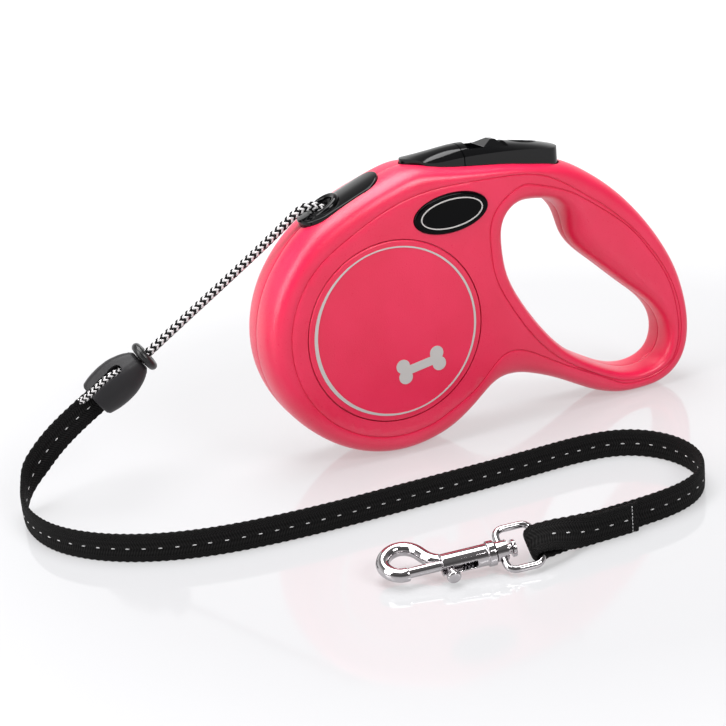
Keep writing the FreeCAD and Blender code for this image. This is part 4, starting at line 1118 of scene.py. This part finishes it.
def ring_sleeve(start, along, length, outer, inner, sides=32):
    """Short hollow sleeve."""
    along = np.array(along)
    first = unit(np.cross(along, (0.0, 0.0, 1.0)))
    second = np.cross(along, first)
    angle = np.linspace(0, 2 * math.pi, sides, endpoint=False)
    spokes = first * np.cos(angle)[:, None] + second * np.sin(angle)[:, None]
    start = np.array(start)
    rows = [start + spokes * outer, start + along * length + spokes * outer,
            start + along * length + spokes * inner, start + spokes * inner,
            start + spokes * outer]
    return np.concatenate(rows), grid_faces(5, sides, True)


def swivel_loop():
    """Bent-wire loop with rounded corners and the sleeve that the hook turns in."""
    origin, along, side = hook_axes(LOOP_TILT)
    plan = rounded_box(DLOOP_END_A, DLOOP_BAR_A, -DLOOP_HALF, DLOOP_HALF, DLOOP_CORNER_R)
    fine = []
    for (a0, b0), (a1, b1) in zip(plan, plan[1:] + plan[:1]):
        count = max(1, int(math.hypot(a1 - a0, b1 - b0) / 0.7))
        for share in np.arange(count) / count:
            spot = along * (a0 + (a1 - a0) * share) + side * (b0 + (b1 - b0) * share)
            fine.append(origin + spot * MM)
    verts, faces = closed_tube(fine, DLOOP_ROD_R * MM)
    sleeve = ring_sleeve(origin + along * SLEEVE_A * MM, along, SLEEVE_L, SLEEVE_OUT_R, SLEEVE_IN_R)
    rel = verts - np.array(origin)
    run = (rel @ np.array(along))[:, None]
    axis_spot = run * np.array(along)
    radial = rel - axis_spot
    size = np.linalg.norm(radial, axis=1, keepdims=True)
    near = (size < SLEEVE_IN_R) & (np.abs(run - DLOOP_BAR_A * MM) < 2 * MM)
    verts = np.where(near, np.array(origin) + axis_spot + radial / size * SLEEVE_IN_R, verts)
    obj = join_parts("swivel_loop", [(verts, faces), sleeve])
    bevelled(obj, 0.35 * MM, 50)
    return obj


loop_wire = swivel_loop()
dress(loop_wire, CHROME)
stand_in(loop_wire, "swivel_eye")


def cast_look(obj, voxel, rounds):
    """Merge a CAD casting into one skin with soft inner corners."""
    remesh = obj.modifiers.new("skin", "REMESH")
    remesh.mode = "VOXEL"
    remesh.voxel_size = voxel
    remesh.use_smooth_shade = True
    soften = obj.modifiers.new("soften", "SMOOTH")
    soften.factor = 0.5
    soften.iterations = rounds


def rounded_edges(obj, width):
    """Small bevel on the CAD part's sharp edges."""
    for poly in obj.data.polygons:
        poly.use_smooth = True
    bevelled(obj, width, 35).harden_normals = True


def copy_of(node, name, material):
    """Copy of a CAD node's object."""
    piece = bpy.data.objects.new(name, nodes[node].data.copy())
    link(piece)
    piece.matrix_world = nodes[node].matrix_world.copy()
    dress(piece, material)
    return piece


def pressed_spring(node, body):
    """Copy of a CAD spring that rides a body in place of the node, with a mesh of its own."""
    coil = copy_of(node, node + "_coil", STEEL)
    stand_in(coil, node, body)
    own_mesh(coil)
    return coil


RING_OUT_R = 28.4
RING_EDGE = 0.08
RING_LEAST = 0.42
RING_BULGES = ((196, 0.80), (10, 0.30))
BONE_REACH_R = 24.5


def fine_print(node, name):
    """Copy of the CAD's silver print with its ring drawn finer, widest on the left."""
    piece = copy_of(node, name, SILVER)
    to_frame = nodes[node].matrix_world
    for v in piece.data.vertices:
        spot = to_frame @ v.co
        u = spot.x / MM - DRUM_X
        w = spot.z / MM - DRUM_Z
        radius = math.hypot(u, w)
        if BONE_REACH_R < radius < RING_OUT_R - RING_EDGE:
            wanted = RING_OUT_R - RING_LEAST
            for degrees, extra in RING_BULGES:
                share = max(0.0, math.cos(math.atan2(w, u) - math.radians(degrees)))
                wanted -= extra * share ** 1.5
            spot.x = (DRUM_X + u * wanted / radius) * MM
            spot.z = (DRUM_Z + w * wanted / radius) * MM
            v.co = to_frame.inverted() @ spot
    stand_in(piece, node)
    rounded_edges(piece, 0.05 * MM)


fine_print("front_trim", "front_print")
fine_print("rear_trim", "rear_print")
pressed_spring("brake_spring", "housing")
bolt_coil = pressed_spring("bolt_spring", "hook")
cast_look(nodes["hook_body"], 0.16 * MM, 7)
rounded_edges(nodes["hook_bolt"], 0.2 * MM)
for node_name, width in (("brake_cover", 0.7), ("brake_button", 0.5), ("lock_slider", 0.25),
                         ("cord_guide", 0.25), ("housing_screws", 0.2), ("front_disc", 0.3),
                         ("rear_disc", 0.3), ("front_badge", 0.25), ("rear_badge", 0.25)):
    rounded_edges(nodes[node_name], width * MM)

# ---- stage and light


def make_floor():
    """Glossy pale floor that glows though it is no lamp, more strongly away from the object: a
    painted lit sweep. Near the object a darker base colour under the glow lightens the cast
    shadows, as painted fill light.
    """
    size = 6.0
    corners = [(-size, -size, 0), (size, -size, 0), (size, size, 0), (-size, size, 0)]
    floor = new_object("floor", corners, [(0, 1, 2, 3)], False)
    n = Nodes("floor_white")
    place = n.coords()
    mottle = n.noise(place, 3.0, 2.0)
    distance = n.add("ShaderNodeVectorMath", operation="LENGTH", Vector=place).outputs["Value"]
    # painted light: base colour and glow both rise away from the object
    far = n.ramp(distance, 0.16, 1.0, 0.0, 1.0)
    near_tone = n.mix(mottle, (0.24, 0.24, 0.25, 1.0), (0.25, 0.25, 0.26, 1.0))
    # The emission is painted light: the floor glows, weaker near the object and stronger away from
    # it, which lifts the cast shadows
    n.set(Base_Color=n.mix(far, near_tone, (0.93, 0.93, 0.93, 1.0)), Roughness=0.07, IOR=1.42,
          Emission_Color=(1.0, 1.0, 1.0, 1.0),
          Emission_Strength=n.ramp(distance, 0.14, 0.8, 0.41, 0.55))
    dress(floor, n.mat)


def area_light(name, place, target, size, size_y, power):
    """White soft box at a place, aimed at a target; sizes in metres and power in watts."""
    data = bpy.data.lights.new(name, "AREA")
    data.shape = "RECTANGLE"
    data.size = size
    data.size_y = size_y
    data.energy = power
    light = bpy.data.objects.new(name, data)
    link(light)
    light.location = place
    aim = Vector(target) - Vector(place)
    light.rotation_mode = "QUATERNION"
    light.rotation_quaternion = aim.to_track_quat("-Z", "Y")


def grey_ramp(tree, fac, stops):
    """Ramp of greys; stops are (position, grey)."""
    ramp = tree.nodes.new("ShaderNodeValToRGB")
    tree.links.new(fac, ramp.inputs["Fac"])
    elements = ramp.color_ramp.elements
    elements[0].position = stops[0][0]
    elements[1].position = stops[-1][0]
    for position, _ in stops[1:-1]:
        elements.new(position)
    for element, (position, grey) in zip(elements, stops):
        element.color = (grey, grey, grey, 1.0)
    return ramp.outputs["Color"]


BACK_STOPS = ((0.0, 0.96), (0.42, 0.96), (0.60, 0.40), (0.85, 0.22), (1.0, 0.22))
FRONT_STOPS = ((0.0, 0.36), (0.10, 0.26), (0.35, 0.10), (0.80, 0.20), (1.0, 0.24))


def make_world():
    """Studio surround: a pale sweep behind, darker overhead and in front."""
    world = bpy.data.worlds.new("world")
    bpy.context.scene.world = world
    world.use_nodes = True
    tree = world.node_tree
    background = tree.nodes["Background"]
    coords = tree.nodes.new("ShaderNodeTexCoord")
    split = tree.nodes.new("ShaderNodeSeparateXYZ")
    tree.links.new(coords.outputs["Generated"], split.inputs["Vector"])
    behind = grey_ramp(tree, split.outputs["Z"], BACK_STOPS)
    front = grey_ramp(tree, split.outputs["Z"], FRONT_STOPS)
    share = tree.nodes.new("ShaderNodeMapRange")
    tree.links.new(split.outputs["Y"], share.inputs["Value"])
    share.inputs["From Min"].default_value = -0.25
    share.inputs["From Max"].default_value = 0.45
    mix = tree.nodes.new("ShaderNodeMix")
    mix.data_type = "RGBA"
    for index, source in ((0, share.outputs["Result"]), (6, front), (7, behind)):
        tree.links.new(source, mix.inputs[index])
    tree.links.new(mix.outputs[2], background.inputs["Color"])
    background.inputs["Strength"].default_value = 1.0


def make_lights():
    """Three soft boxes: overhead, left and front."""
    area_light("top_box", (-0.1, 0.1, 0.9), (0.0, 0.0, 0.03), 0.9, 0.6, 11.0)
    area_light("left_box", (-0.75, -0.15, 0.45), (-0.03, 0.0, 0.05), 0.35, 0.7, 4.2)
    area_light("front_box", (0.30, -0.9, 0.75), (0.0, 0.0, 0.03), 0.5, 0.35, 8.0)
    bpy.context.scene.view_settings.view_transform = "Standard"


make_floor()
make_world()
make_lights()
